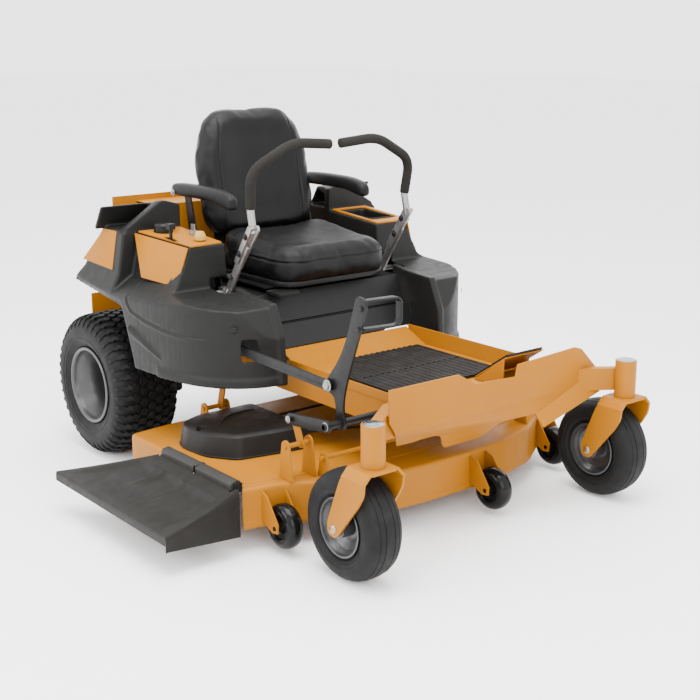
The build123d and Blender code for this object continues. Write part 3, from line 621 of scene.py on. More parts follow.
def caster_fork():
    """Bent plate yoke: a crown with sloping shoulders and two raked legs."""
    x, y = CASTER.x, CASTER_PIN_Y
    half, thick = 75.5, 8
    crown = prism("z", rounded([(x - 52, y - 50), (x + 52, y - 50), (x + 52, y + 50),
                                (x - 52, y + 50)], 16), 351, 359.5)
    for side in (-1, 1):
        a, b = x + side * 44, x + side * half
        shoulder = [(a, 359.5), (x + side * 52, 359.5), (b, 334), (b, 326), (b - side * thick, 326),
                    (b - side * thick, 331), (a + side * 4, 351.5)]
        fused(crown, prism("y", shoulder, y - 49, y + 49))
        leg = rounded([(y - 49, 334), (y + 49, 334), (y + 62, 306), (CASTER.y + 27, 182),
                       (CASTER.y + 25, 146), (CASTER.y - 8, 139), (CASTER.y - 26, 158),
                       (y - 24, 262), (y - 46, 300)], 14)
        ends = sorted((b, b - side * thick))
        fused(crown, prism("x", leg, *ends))
    pin = lathe((x, y, 0), [(346, 0), (346, 24), (359, 24), (359, 34), (360.8, 34), (360.8, 16),
                            (470, 16), (470, 0)], axis="z", segments=48)
    fused(crown, pin)
    soften(crown, 1.6, 30)
    return applied(crown)


def build_rollers():
    """Glossy anti-scalp rollers with a shallow crown and recessed hubs."""
    for name in ("left", "front", "right"):
        low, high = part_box("roller_" + name)
        back = TO_ROW.inverted()
        centre = back @ ((Vector(low) + Vector(high)) / 2)
        line = [(0, 70), (10, 69), (19, 65.5), (25, 59), (28, 50), (27.5, 42), (24, 38),
                (19, 36), (17, 24), (22, 21), (27, 20), (28, 10), (30, 7), (41, 6.8), (41.5, 0)]
        shape = lathe(centre, line + [(-x, r) for x, r in reversed(line)], segments=96)
        piece(shape, "scalp_roller_" + name, "roller_" + name, GLOSS,
              angle=35, replaces=("roller_" + name,))


# ---- fender pods -------------------------------------------------------------------
def pod_form(inset):
    """Outer form of the left pod, drawn in by inset; the inner form hollows it out."""
    i = inset
    outer = smooth_line([(335, -106 + i), (405 - i * .3, -98 + i), (476 - i * .7, -62 + i),
                        (534 - i, -6 + i), (575 - i, 66), (601 - i, 160), (616 - i, 290),
                        (622 - i, 420), (622 - i, 640), (622 - i, 860)], 6)
    plan = [(p.x, p.y) for p in outer] + [(335, 860)]
    floor_z = 403 - 4 * i
    side = [(-118 + i, floor_z), (-104 + i, 560), (-60 + i, 656 - i), (60, 664 - i),
            (222 + i, 682 - i), (234 + i, 826 - i), (520, 846 - i), (560, 858 - i),
            (650 - i, 858 - i), (664 - i, 858 - i), (818 - i * 1.4, 648 + i),
            (474 - i, 604 + i), (404 - i, 424), (400 - i, floor_z)]
    form = carve(prism("z", plan, 370, 960), "INTERSECT", prism("x", side, 334, 640))
    shoulder = [(660, 640), (622 - i, 646 - i), (552 - i, 690 - i), (536 - i, 700 - i),
                (500 - i, 848), (500 - i, 990), (660, 990)]
    cut(form, prism("y", shoulder, -200, 520 + i))
    rear_shoulder = [(660, 640), (622 - i, 650 - i), (592 - i, 706 - i), (566 - i, 858),
                     (560 - i, 990), (660, 990)]
    return cut(form, prism("y", rear_shoulder, 519 + i, 900))


THROTTLE_SLOT = (464, 484, 318, 394, 790, 870)


def pod(side):
    """Moulded pod with its ridge, inner rail, lower lip, rear wall and openings."""
    shell = pod_form(0)
    ridge = prism("y", [(335, 930), (396, 948), (420, 946), (556, 862), (580, 718),
                        (622, 652), (608, 618), (560, 600), (500, 700), (335, 800)], 522, 552)
    rail = prism("x", [(-124, 404), (-110, 566), (-66, 668), (64, 676), (150, 690), (186, 730),
                       (200, 730), (196, 668), (60, 640), (-40, 620), (-80, 404)], 335, 362)
    rear_wall = prism("x", [(650, 850), (598, 934), (612, 934), (664, 852)], 345, 604)
    top_wall = prism("x", [(548, 900), (548, 934), (612, 934), (612, 922)], 345, 420)
    lip = smooth_line([(335, -112), (408, -105), (482, -68), (541, -11), (582, 62), (608, 160),
                       (620, 232), (612, 240)], 6)
    lip_plan = [(p.x, p.y) for p in lip] + [(560, 200), (480, 20), (335, -60)]
    band = prism("z", lip_plan, 403, 430, [(x - 2, y + 1) for x, y in lip_plan])
    fused(shell, ridge, rail, rear_wall, top_wall, band)
    hollow = pod_form(6)
    carve(hollow, "INTERSECT", box(341, 640, -200, 900, 300, 980))
    cut(shell, hollow)
    cut(shell, box(320, 352, -50, 880, 300, 470))
    lever_slot = prism("z", rounded([(318, 140), (404, 146), (404, 250), (318, 258)], 16), 640, 712)
    cut(shell, lever_slot)
    if side == "right":
        window = prism("y", rounded([(428, 492), (476, 492), (476, 562), (428, 562)], 12),
                       -140, 10)
        cut(shell, window, box(*THROTTLE_SLOT))
    else:
        cut(shell, prism("z", rounded([(362, 290), (488, 290), (488, 500), (362, 500)], 22),
                         800, 900))
        tray = prism("z", rounded([(358, 286), (492, 286), (492, 504), (358, 504)], 24),
                     793, 842)
        fused(shell, cut(tray, prism("z", rounded([(363, 291), (487, 291), (487, 499),
                                                   (363, 499)], 20), 797, 900)))
    moulded(shell, 4.5, 4)
    reshaped(shell, pod_detail)
    return flipped(shell) if side == "right" else shell


CREASE = [(436, 700), (418, 624), (392, 600), (300, 580), (200, 566), (90, 558), (20, 560)]
ARCH_EDGE = [(400, 403), (404, 424), (474, 604), (640, 625), (818, 648)]


def distance_to(line, y, z):
    """Distance to a line of points, signed positive above it."""
    best, sign = 1e9, 1
    point = Vector((y, z))
    for a, b in zip(line, line[1:]):
        a, b = Vector(a), Vector(b)
        run = b - a
        t = max(0.0, min(1.0, (point - a).dot(run) / run.length_squared))
        gap = point - (a + run * t)
        if gap.length < best:
            best = gap.length
            sign = 1 if run.x * gap.y - run.y * gap.x < 0 else -1
    return best * sign


def pod_detail(p):
    """Tapers the console, then presses crease, wedge and arch flange into the skin."""
    if p.x > 430 and p.y < 520:
        taper = (1 - step(250, 520, p.y)) * min(1.0, max(0.0, (p.z - 700) / 125))
        p = Vector((p.x - 30 * taper * step(430, 500, p.x), p.y, p.z))
    if p.x < 380:
        return p
    face = step(470, 540, p.x) if p.y > 120 else step(-200, -60, p.y) * step(400, 440, p.x)
    push = 0.0
    if p.y < 440 and p.z > 440:
        d = distance_to(CREASE, p.y, p.z)
        fade = step(-10, 60, p.y)
        push += fade * (3.2 * math.exp(-((d + 3) / 4.5) ** 2) - 3.0 * math.exp(-((d - 5) / 5) ** 2))
    along = (402 - p.y) / (402 - 222)
    if -0.08 < along < 1.06 and p.z < 600:
        middle = 536 - 68 * along
        half = 17 - 11 * along
        side = 1 - step(half * 0.55, half, abs(p.z - middle))
        push += side * step(-0.06, 0.02, along) * (1 - step(0.92, 1.04, along)) * (10 - 5 * along)
    if p.y > 380:
        d = abs(distance_to(ARCH_EDGE, p.y, p.z))
        push -= 9 * (1 - step(4, 26, d)) * step(560, 610, p.x)
    if not push:
        return p
    outward = Vector((1, -0.35 * (1 - step(60, 260, p.y)), 0)).normalized()
    return p + outward * push * face


def build_pods():
    """Both pods with their painted panels and the round plug in each front corner."""
    for side in ("left", "right"):
        piece(pod(side), "side_pod_" + side, "chassis", PLASTIC, angle=50,
              replaces=("pod_" + side,))
        build_panels(side)
        plug = round_head((500, -58, 600), (0.72, -0.69, 0), 10, 2.5)
        if side == "right":
            plug = flipped(plug)
        piece(plug, "pod_plug_" + side, "chassis", BLACK)


def panel(corners, thick, radius=5):
    """Painted panel over four or more corners, thickened outward, away from the seat."""
    pts = [Vector(c) for c in corners]
    centre = sum(pts, Vector()) / len(pts)
    normal = (pts[1] - pts[0]).cross(pts[-1] - pts[0]).normalized()
    if normal.x < 0 and abs(normal.x) > abs(normal.z):
        normal = -normal
    if abs(normal.z) >= abs(normal.x) and normal.z < 0:
        normal = -normal
    side = (pts[1] - pts[0]).normalized()
    up = normal.cross(side)
    flat = [((p - centre).dot(side), (p - centre).dot(up)) for p in pts]
    flat = rounded(flat, radius)
    rings = [[centre + side * a + up * b + normal * lift for a, b in flat]
             for lift in (-3, thick)]
    return loft(rings)


def build_panels(side):
    """Orange console top, console side and rear side panels."""
    flank = panel([(517, 520, 843), (548, 430, 703), (544, 236, 703), (481, 230, 824)], 1.6)
    rear = panel([(570, 566, 850), (574, 650, 850), (589, 770, 726), (594, 566, 716)], 1.6)
    if side == "right":
        top = prism("z", rounded([(344, 240), (472, 232), (512, 516), (344, 516)], 6), 826, 831)
        cut(top, box(*THROTTLE_SLOT))
    else:
        top = prism("z", rounded([(344, 240), (500, 232), (512, 516), (344, 516)], 6), 826, 832)
        cut(top, prism("z", rounded([(360, 288), (490, 288), (490, 502), (360, 502)], 22),
                       800, 900))
    reshaped(top, lambda p: Vector((p.x, p.y, p.z + (p.y - 236) * 0.072)))
    shapes = {"console_side": flank, "rear_side": rear, "console_top": top}
    for name, shape in shapes.items():
        if side == "right":
            shape = flipped(shape)
        piece(shape, f"{name}_{side}", "chassis", PAINT, bevel=0.8,
              replaces=("pod_panels",))


# ---- seat --------------------------------------------------------------------------
PADDING_PRESSURE = 4.0
PADDING_FRAMES = 20


def inflated(obj, voxel, cap):
    """Padding by cloth simulation: the skin swells and no point moves past the cap."""
    voxelled(obj, voxel)
    start = [v.co.copy() for v in obj.data.vertices]
    cloth = obj.modifiers.new("cloth", "CLOTH")
    cloth.settings.effector_weights.gravity = 0
    cloth.settings.use_pressure = True
    cloth.settings.uniform_pressure_force = PADDING_PRESSURE
    cloth.settings.quality = 6
    for number in range(1, PADDING_FRAMES + 1):
        bpy.context.scene.frame_set(number)
    applied(obj)
    bpy.context.scene.frame_set(1)
    for vertex, origin in zip(obj.data.vertices, start):
        move = vertex.co - origin
        if move.length > cap * MM:
            vertex.co = origin + move.normalized() * cap * MM
    relax(obj, 26)
    finer(obj, 1)
    return applied(obj)


def seam(level, depth, width, value):
    """Depth of a sewn groove at a value, where the groove's middle is at level."""
    return depth * math.exp(-((value - level) / width) ** 2)


def cushion_shape(p):
    """Dished top with side bolsters, a rolled front and the boxing seam under it."""
    x, y, z = p
    top = step(745, 790, z)
    dish = 15 * math.exp(-(x / 150) ** 4) * step(60, 190, y)
    z -= top * dish
    z += top * (10 + 30 * step(120, 430, y))
    ripple = 1.6 * noise.noise(Vector((x / 70, y / 70, z / 50)))
    z += ripple
    radial = Vector((x, y - 230, 0)).normalized()
    edge = seam(767 + 4 * noise.noise(Vector((x / 60, 0, 0))), 3.4, 3.0, z)
    edge -= seam(775, 2.2, 4.0, z)
    outer = step(170, 215, max(abs(x), 230 - y))
    side = p - radial * edge * outer
    return Vector((side.x, side.y, z))


def back_shape(p):
    """Leans the back, hollows its middle and sews in the two upright seams."""
    x, y, z = p
    front = 1 - step(-12, 12, y)
    hollow = 15 * math.exp(-(x / 120) ** 4) * step(815, 900, z) * (1 - step(1130, 1225, z))
    y += front * hollow
    line = 158 - 22 * step(1060, 1230, z)
    y += front * seam(line, 5.0, 4.5, abs(x)) * (1 - step(1175, 1235, z))
    y += front * 1.5 * noise.noise(Vector((x / 60, 3, z / 80)))
    lumbar = -8 * math.exp(-((z - 900) / 70) ** 2)
    high = 804 + (z - 804) * 1.045
    return Vector((x * 1.09, y + 512 + (z - 804) * 0.175 + front * lumbar, high))


def build_seat():
    """Padded cushion and back, the parts that carry them, armrests and slide handle."""
    cushion = prism("z", rounded([(-232, 20), (232, 20), (238, 455), (-238, 455)], 95, 8),
                    700, 786)
    cushion = inflated(cushion, 5, 22)
    reshaped(cushion, cushion_shape)
    piece(cushion, "seat_cushion_pad", "seat", VINYL, angle=60,
          replaces=("seat_cushion",))
    outline = rounded([(-196, 800), (-228, 900), (-230, 1080), (-186, 1190), (-126, 1238),
                       (126, 1238), (186, 1190), (230, 1080), (228, 900), (196, 800)], 50)
    back = inflated(prism("y", outline, -32, 32), 5, 20)
    reshaped(back, back_shape)
    piece(back, "seat_back_pad", "seat", VINYL, angle=60,
          replaces=("seat_back",))
    shell = prism("y", rounded([(-170, 820), (-205, 920), (-200, 1080), (-160, 1170),
                                (160, 1170), (200, 1080), (205, 920), (170, 820)], 40), 46, 52)
    reshaped(shell, lambda p: Vector((p.x, p.y + 504 + (p.z - 804) * 0.165, p.z)))
    piece(shell, "seat_back_board", "seat", BLACK, bevel=2)
    for side, sign in SIDES:
        build_armrest(side, sign)
    pan = prism("z", rounded([(-226, 34), (226, 34), (240, 470), (-240, 470)], 80, 6),
                684, 702)
    piece(pan, "seat_shell", "seat", BLACK, bevel=3)
    lever = slide_handle()
    piece(lever, "slide_handle", "seat_slide_lever", PLASTIC, bevel=1.2,
          replaces=("seat_slide_lever",))


def slide_handle():
    """Flat ribbed grip that frees the seat rails."""
    grip = prism("z", rounded([(-262, 22), (-178, 16), (-176, 78), (-262, 92)], 14), 664, 674)
    for k in range(5):
        x = -250 + k * 16
        fused(grip, box(x, x + 7, 26, 76, 672, 676.5))
    fused(grip, pipe([(-262, 96, 670), (-170, 96, 670)], 5, smooth=False))
    fused(grip, box(-200, -184, 60, 98, 665, 673))
    return grip


def build_armrest(side, sign):
    """Padded arm that droops at its front end, turned on a bolt at the back frame."""
    stations = [(629, 968, 5, 8), (624, 966, 14, 16), (605, 966.5, 19, 21.5),
                (540, 968.5, 20.5, 23.5), (450, 970.5, 20.5, 24), (360, 969, 20.5, 24),
                (320, 965, 22, 24), (286, 958, 23, 23.6), (258, 952, 22, 22), (243, 948, 17, 18),
                (237, 945, 9, 11)]
    rings = []
    for y, z, tall, wide in stations:
        ring = []
        for k in range(28):
            a = 2 * math.pi * k / 28
            c, s = math.cos(a), math.sin(a)
            flat = 0.75 if s > 0 else 0.62
            ring.append((sign * 292 + wide * math.copysign(abs(c) ** 0.7, c), y,
                         z + 6 + 1.2 * tall * math.copysign(abs(s) ** flat, s)))
        rings.append(ring)
    arm = loft(rings)
    finer(arm, 2)
    applied(arm)
    piece(arm, "armrest_pad_" + side, "armrest_" + side, SOFT_BLACK, angle=60,
          replaces=("armrest_" + side,))
    bolt = hex_head((sign * 316, 600, 962), (sign, 0, 0), 8, 6)
    piece(bolt, "armrest_bolt_" + side, "armrest_" + side, STEEL)


# ---- deck, chute and belt covers ----------------------------------------------------
DECK_EDGE = [(-690, 60), (-690, 310), (-500, 330), (500, 330), (680, 250), (690, -374),
             (560, -400), (420, -490), (250, -536), (100, -548), (-100, -548), (-250, -536),
             (-420, -490), (-560, -400), (-690, -374)]


def swept(path, section):
    """Closed (outward, z) section carried along a line in plan."""
    rings = []
    for i, p in enumerate(path):
        run = Vector(path[min(i + 1, len(path) - 1)]) - Vector(path[max(i - 1, 0)])
        out = Vector((-run.y, run.x)).normalized()
        rings.append([(p[0] + out.x * o, p[1] + out.y * o, z) for o, z in section])
    return loft(rings)


def build_deck():
    """Pressed deck: a wall with a rolled edge and a foot lip, and a top with spindle holes."""
    closed = rounded(DECK_EDGE, 24, 6)
    path = [DECK_EDGE[0]] + closed[7:-7] + [DECK_EDGE[-1]]
    wall = swept(path, [(-16, 199.5), (-8, 199), (-3, 196), (-0.5, 191), (0, 184), (0, 98),
                        (2, 92), (4, 88), (4.5, 78), (3.5, 73), (-1, 72), (-2, 88), (-4, 98),
                        (-4, 184), (-6, 192), (-16, 195)])
    plan = [(x * 0.981, y * 0.97 - 4) for x, y in closed]
    top = prism("z", plan, 195, 199.4)
    for x, y in ((-430, -30), (0, -200), (430, -30)):
        cut(top, lathe((x, y, 0), [(150, 0), (150, 45), (250, 45), (250, 0)], "z", 48))
    seam_rib = pipe([(-660, -330, 199), (-300, -420, 199), (0, -436, 199), (300, -420, 199),
                     (660, -330, 199)], 3.5, per=8, sides=10)
    piece(joined(wall, seam_rib), "deck_wall", "deck", PAINT, angle=35,
          replaces=("deck_skirts",))
    piece(top, "deck_plate", "deck", PAINT, bevel=0.8, replaces=("deck_top",))


def chute_height(u, v):
    """Height of the chute's skin; u runs front to back, v from hinge to outer edge."""
    z = 211 + (126 - 211) * v - 3 * math.sin(math.pi * v)
    margin = min((u - 0.04) / 0.05, (0.97 - u) / 0.05, (v - 0.24) / 0.06)
    z -= 8.0 * step(0.0, 1.0, margin) * (1 - step(0.62, 0.98, v))
    for along, far in ((0.42, 0.66), (0.66, 0.66)):
        gap = abs(u - along) * 560
        z += 7.0 * (1 - step(5, 12, gap)) * step(0.22, 0.28, v) * (1 - step(0.40, far, v))
    return z


def build_chute():
    """Moulded chute with a turned-down front and outer edge, and its hinge caps."""
    rings = []
    across = 64
    for k in range(-9, 121):
        u = max(0.0, k / 120)
        ring = []
        for j in range(across + 1):
            v = j / across
            x = -716 - 244 * v
            front = -392 + 10 * v
            y = front + u * (36 + 280 * v - front)
            z = chute_height(u, v)
            if k < 0:
                drop = -k / 9
                foot = 64 + 14 * v
                y -= 6 * math.sin(min(1, drop * 3.2) * math.pi / 2)
                z -= (z - foot) * drop ** 1.5
            ring.append((x, y, z))
        x0, y0, z0 = ring[across]
        fall = min(30, z0 - 80)
        for k2 in range(1, 6):
            a = math.radians(18 * k2)
            ring.append((x0 - 4 * math.sin(a), y0, z0 - max(1.0, fall * 0.5) * (1 - math.cos(a))))
        x1, y1, z1 = ring[-1]
        ring.append((x1, y1, z1 - max(1.0, fall * 0.5)))
        rings.append(ring)
    flap = loft(rings, closed=False)
    mod = flap.modifiers.new("wall", "SOLIDIFY")
    mod.thickness = 4 * MM
    mod.offset = -1
    applied(flap)
    for y in (-374, -168, 40):
        cut(flap, box(-734, -696, y - 1.5, y + 9.5, 180, 240))
    piece(flap, "chute_flap", "chute", CHUTE, angle=40, replaces=("chute",))
    caps = []
    for y0, y1 in ((-366, -170), (-158, 34)):
        cap = prism("y", rounded([(-727, 199), (-692, 199), (-690, 226), (-704, 233),
                                  (-729, 223)], 6), y0, y1)
        cut(cap, pipe([(-708, y0 - 5, 214), (-708, y1 + 5, 214)], 6.1, smooth=False))
        caps.append(cap)
    cover = prism("y", [(-727, 225.5), (-690, 226.5), (-691, 229), (-704, 233), (-727, 227)],
                  -171, -157)
    piece(joined(*caps, cover), "chute_hinge_cap", "chute", HINGE_GREY,
          bevel=1.5)


def build_covers():
    """Moulded belt covers: raked walls, a chamfer and a slightly domed top."""
    plan = [(-632, 60), (-612, 124), (-542, 162), (-286, 162), (-286, -194), (-400, -182),
            (-558, -150), (-620, -60)]
    middle = Vector((-440, -10))
    base = [Vector(p) for p in rounded(plan, 26, 4)]
    rings = []
    for z, scale in ((201, 1.0), (205, 1.0), (206, 0.985), (262, 0.94), (269, 0.925),
                     (276, 0.86), (279, 0.80), (283, 0.5), (284.5, 0.2)):
        rings.append([tuple(middle + (p - middle) * scale) + (z,) for p in base])
    cover = loft(rings)
    cut(cover, lathe((-590, 6, 0), [(262, 0), (262, 17), (300, 20), (300, 0)], "z", 32))
    cut(cover, lathe((-330, -120, 0), [(270, 0), (270, 14), (300, 16), (300, 0)], "z", 32))
    rib = pipe([(-556, -40, 281), (-470, 40, 284.5), (-350, 60, 281)], 3, per=8, sides=8)
    whole = joined(cover, rib)
    bolts = joined(hex_head((-590, 6, 262), (0, 0, 1), 7, 6),
                   hex_head((-330, -120, 270), (0, 0, 1), 6, 6))
    for side in ("right", "left"):
        for shape, name, finish, slot in ((whole, "belt_guard_", COVER, "black_plastic"),
                                          (bolts, "belt_guard_bolts_", STEEL, "bright_steel")):
            copy = sided(shape, side, drawn="right")
            piece(copy, name + side, "deck", finish, angle=30, bevel=0.8,
                  replaces=("belt_covers",))
    removed(whole, bolts)


# ---- front plate and floor ----------------------------------------------------------
def build_front():
    """Front plate: upright face, lower part folded back around the deck, one wing forward."""
    outline = [(-400, 530), (-126, 529), (-100, 514), (-54, 488), (119, 479), (128, 517),
               (395, 530), (426, 520), (507, 441), (215, 339)]
    arch = [(206, 326), (180, 322), (150, 312), (124, 280), (96, 240),
            (76, 222), (-76, 222), (-96, 240), (-124, 280), (-150, 312), (-180, 322),
            (-240, 322), (-262, 318), (-330, 322), (-400, 430)]
    sheet = prism("y", outline + arch, -706, -700)
    bm = bmesh.new()
    bm.from_mesh(sheet.data)
    for level in (400, 396, 392, 388):
        bmesh.ops.bisect_plane(bm, geom=bm.verts[:] + bm.edges[:] + bm.faces[:],
                               plane_co=(0, 0, level * MM), plane_no=(0, 0, 1))
    bmesh.ops.triangulate(bm, faces=[f for f in bm.faces if len(f.verts) > 4])
    bm.to_mesh(sheet.data)
    bm.free()

    def fold(p):
        turn = math.radians(40) * (1 - step(386, 402, p.z)) * (1 - step(180, 213, p.x))
        drop = max(0.0, 394 - p.z)
        gap = p.y + 700
        if drop <= 0:
            return p
        return Vector((p.x, -700 + gap * math.cos(turn) + drop * math.sin(turn),
                       394 - drop * math.cos(turn) + gap * math.sin(turn)))

    reshaped(sheet, fold)
    wing = loft([[(215, -706, 339), (215, -700, 337), (507, -700, 439), (507, -706, 441)],
                 [(236, -724, 293), (240, -718, 291), (492, -732, 369), (488, -738, 371)]])
    face = joined(sheet, wing)
    piece(face, "front_shield", "chassis", PAINT, bevel=1.4, angle=25,
          replaces=("front_plate",))
    build_mat()


def build_mat():
    """Rubber mat with moulded ribs, and the ribbed pad on the toe board."""
    low, high = 441.0, 446.2
    profile = [(-220, low), (-220, high)]
    x = -206.0
    while x < 214:
        profile += [(x, high), (x + 4, high + 3.2), (x + 13, high + 3.2), (x + 17, high)]
        x += 25.0
    profile += [(240, high), (240, low)]
    mat = prism("y", profile, -524, -110)
    keep = prism("z", [(-221, -269), (-70, -108), (242, -108), (242, -526), (-222, -526)],
                 430, 460)
    carve(mat, "INTERSECT", keep)
    border = prism("z", [(-219, -269), (-70, -110), (240, -110), (240, -524), (-221, -524)],
                   441, 447.6)
    inner = prism("z", [(-208, -264), (-66, -120), (229, -120), (229, -512), (-209, -512)],
                  430, 460)
    fused(mat, cut(border, inner))
    band = box(-214, 234, -330, -318, 442, 449.4)
    fused(mat, carve(band, "INTERSECT",
                     prism("z", [(-219, -269), (-219, -340), (240, -340), (240, -110)],
                           440, 452)))
    pad = strip([(-668, 537), (-532, 445)], 6, 118, 280)
    ribs = []
    for k in range(9):
        y = -656 + k * 14
        z = 537 - (y + 668) * 92 / 136
        ribs.append(pipe([(126, y + 3, z + 6.5), (272, y + 3, z + 6.5)], 2.4, sides=8,
                         smooth=False))
    whole = joined(mat, pad, *ribs)
    piece(whole, "ribbed_mat", "chassis", MAT, angle=25, replaces=("floor_mat",))


# ---- control levers ----------------------------------------------------------------
def bent_line(points, radius, steps=8):
    """Straight runs joined by arcs, as a bent tube."""
    pts = [Vector(p) for p in points]
    line = [pts[0]]
    for before, corner, after in zip(pts, pts[1:], pts[2:]):
        a = corner + (before - corner).normalized() * radius
        b = corner + (after - corner).normalized() * radius
        for k in range(steps + 1):
            t = k / steps
            line.append(a * (1 - t) ** 2 + corner * (2 * t * (1 - t)) + b * t * t)
    return line + [pts[-1]]


def grip_radius(t):
    """Foam grip: full along its length, with a rounded closed end."""
    if t > 0.985:
        return 17 * math.sqrt(max(0.04, 1 - ((t - 0.985) / 0.015) ** 2))
    return 17 if t > 0.01 else 15.5


def build_levers():
    """Clamped lever bars with foam grips, drawn for the left and copied to the right."""
    line = bent_line([(335, 77, 960.5), (345, 61, 1082), (182, 47, 1170), (17, 54, 1156)], 52)
    fine = []
    for a, b in zip(line, line[1:]):
        count = max(1, int((b - a).length / 6))
        fine += [a.lerp(b, k / count) for k in range(count)]
    fine.append(line[-1])
    grip = pipe(fine, grip_radius, sides=28, smooth=False)
    bolts = joined(*(hex_head((x, y, z), (way, 0, 0), 8, 6)
                     for y, z in ((82, 868), (122, 806)) for x, way in ((325.8, -1), (354.2, 1))))
    arm = joined(
        pipe([(340, 206, 659), (340, 225, 659)], 15, sides=32, smooth=False),
        prism("x", rounded([(200, 651), (227, 667), (112, 846), (84, 830)], 9), 335, 345),
        prism("x", rounded([(150, 742), (172, 758), (70, 908), (40, 908), (36, 892)], 7),
              326, 334.5),
        prism("x", rounded([(138, 768), (156, 776), (68, 908), (44, 902)], 7), 334, 354),
        pipe([(337, 60, 880), (335.5, 76, 950), (335, 77, 966)], 12.7, sides=32, smooth=False))
    for side in ("left", "right"):
        for shape, name, finish, slot, gone in (
                (arm, "lever_bar_", STEEL, "bright_steel", ("lever_arm_" + side,)),
                (grip, "foam_grip_", FOAM, "grip_foam", ("lever_grip_" + side,)),
                (bolts, "lever_bolts_", BLACK, "dark_steel", ())):
            copy = sided(shape, side)
            piece(copy, name + side, "lever_" + side, finish, angle=40, replaces=gone,
                  bevel=1.5 if name == "lever_bar_" else 0)
    removed(grip, bolts, arm)


def capsule(start, end, radius, x0, x1):
    """Flat bar with round ends between two (y, z) points."""
    a, b = Vector(start), Vector(end)
    along = math.atan2(b.y - a.y, b.x - a.x)
    outline = []
    for centre, first in ((b, along - math.pi / 2), (a, along + math.pi / 2)):
        for k in range(13):
            turn = first + math.pi * k / 12
            outline.append((centre.x + radius * math.cos(turn),
                            centre.y + radius * math.sin(turn)))
    return prism("x", outline, x0, x1)


def build_lift():
    """Pedal lever with its curved neck and strap pedal, its cross shaft and arms."""
    y, z = -534, 398
    neck = smooth_line([(-557, 392), (-549, 450), (-560, 510), (-592, 600), (-642, 730),
                        (-654, 772), (-642, 793), (-612, 793), (-598, 762), (-566, 668),
                        (-528, 594), (-480, 532), (-466, 506), (-478, 486), (-504, 472),
                        (-514, 436), (-511, 394), (-534, 375)], 5, closed=True)
    plate = prism("x", [(p.x, p.y) for p in neck], -446, -438)
    loop = bent_line([(-438, 0, 702), (-300, 0, 696), (-300, 0, 780), (-438, 0, 784)], 22)
    rings = []
    for i, p in enumerate(loop):
        run = loop[min(i + 1, len(loop) - 1)] - loop[max(i - 1, 0)]
        side = Vector((-run.z, 0, run.x)).normalized() * 3
        rings.append([(p.x + side.x * a, -630 + w, p.z + side.z * a)
                      for a, w in ((1, -13), (-1, -13), (-1, 13), (1, 13))])
    pieces = [plate, loft(rings),
              pipe([(-508, y, z), (508, y, z)], 12, sides=32, smooth=False)]
    for side in (-1, 1):
        x0, x1 = sorted((side * 490, side * 500))
        pieces.append(capsule((y, z), (-357, 379), 19, x0, x1))
        pieces.append(pipe([(side * 480, -357, 379), (side * 508, -357, 379)], 7,
                           sides=24, smooth=False))
    pieces.append(pipe([(-438, -487, 506), (-462, -487, 506)], 8, sides=24, smooth=False))
    piece(joined(*pieces), "lift_pedal", "lift_lever", DARK_STEEL, bevel=1.2,
          replaces=("lift_lever",))
    heads = [hex_head((-446.5, -622, 700), (-1, 0, 0), 9, 5, washer=1.1),
             hex_head((-446.5, -634, 764), (-1, 0, 0), 9, 5, washer=1.1)]
    piece(joined(*heads), "pedal_bolts", "lift_lever", BLACK)
    end = hex_head((-508.5, -357, 379), (-1, 0, 0), 8, 5)
    piece(end, "arm_end_bolt", "lift_lever", STEEL)


def build_small_parts():
    """Bright caps over the caster pins, and two fasteners on the lift."""
    for side, sign in SIDES:
        cap = lathe((sign * 539, -800, 0), [(481, 0), (481, 31), (483.5, 31), (484.5, 29),
                                            (484.5, 0)], "z", 48)
        piece(cap, "caster_cap_" + side, "chassis", BRIGHT, angle=30)
    link_nut = hex_head((-456.5, -487, 506), (-1, 0, 0), 13, 9)
    piece(link_nut, "link_nut", "lift_lever", STEEL)
    arm_bolt = hex_head((-501, -534, 398), (-1, 0, 0), 10, 7)
    piece(arm_bolt, "shaft_bolt", "lift_lever", STEEL)


# ---- everything is put in place ----------------------------------------------------
build_rear_wheels()
build_casters()
build_rollers()
build_pods()
build_seat()
build_deck()
build_chute()
build_covers()
build_front()
build_levers()
build_lift()
build_small_parts()

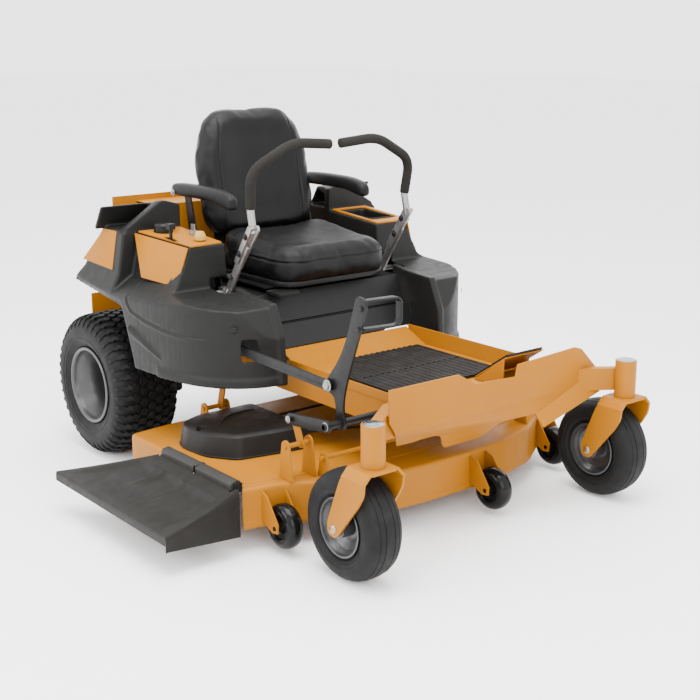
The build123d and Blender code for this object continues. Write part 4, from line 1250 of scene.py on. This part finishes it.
CAD_FINISH = {
    PAINT: "frame front_plate foot_pan pod_panels rear_cover rear_guard deck_top deck_skirts "
           "deck_brackets",
    DARK_STEEL: "seat_base_panel seat_plate seat_pan lift_lever lift_link lift_crank chute_hinge",
    BLACK: "engine_shroud battery fuel_tank fuel_cap throttle_lever",
    CAST: "muffler transaxles spindle_housings",
    STEEL: "ignition_key lever_foot_left lever_foot_right",
    BRIGHT: "lever_arm_left lever_arm_right",
    FOAM: "lever_grip_left lever_grip_right",
    BLADE: "blade_left blade_mid blade_right",
    MAT: "floor_mat", ENGINE: "engine_block", YELLOW: "blade_switch", COVER: "belt_covers",
    BELT: "deck_belt", CHUTE: "chute",
}
finish_of = {name: finish for finish, names in CAD_FINISH.items() for name in names.split()}
CAD_SHARP = 32

for name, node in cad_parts.items():
    node.data.materials.clear()
    node.data.materials.append(finish_of.get(name, DARK_STEEL))
    shade(node, CAD_SHARP)
    weld = node.modifiers.new("weld", "WELD")
    weld.merge_threshold = 0.05 * MM
    soften(node, 1.2, CAD_SHARP, segments=2)
    node.modifiers.new("even", "WEIGHTED_NORMAL")


# ---- studio ------------------------------------------------------------------------
floor = prism("z", rounded([(-30000, -20000), (30000, -20000), (30000, 40000),
                            (-30000, 40000)], 4000), -20, -0.5)
floor.name = "studio_floor"
floor.data.materials.append(FLOOR)

world = bpy.data.worlds.new("studio")
bpy.context.scene.world = world
world.use_nodes = True
world.node_tree.nodes["Background"].inputs["Color"].default_value = (1.0, 1.0, 1.0, 1)
world.node_tree.nodes["Background"].inputs["Strength"].default_value = 3.1


def soft_light(name, place, target, size, power):
    """Square soft box that faces a point."""
    data = bpy.data.lights.new(name, "AREA")
    data.shape = "SQUARE"
    data.size = size
    data.energy = power
    lamp = bpy.data.objects.new(name, data)
    bpy.context.scene.collection.objects.link(lamp)
    lamp.location = place
    lamp.rotation_euler = (Vector(target) - Vector(place)).to_track_quat("-Z", "Y").to_euler()


soft_light("overhead", (-0.4, -0.6, 4.2), (0.1, 0.1, 0.4), 3.0, 330)
soft_light("front", (-1.5, -4.5, 2.4), (0.1, 0.0, 0.5), 2.5, 90)
soft_light("side", (-4.5, 0.8, 2.6), (0.0, 0.1, 0.5), 2.5, 150)

# The camera was fitted to the photograph; its place is in machine millimetres.
camera_data = bpy.data.cameras.new("camera")
camera_data.lens = 63.57
camera_data.sensor_width = 36
camera_data.shift_x = -0.0104
camera_data.shift_y = -0.0190
camera = bpy.data.objects.new("camera", camera_data)
bpy.context.scene.collection.objects.link(camera)
eye = TO_ROW @ Vector((-2609, -3280, 1530))
aim = TO_ROW @ Vector((32.6, -26.5, 491))
camera.location = eye
camera.rotation_euler = (aim - eye).to_track_quat("-Z", "Y").to_euler()
bpy.context.scene.camera = camera
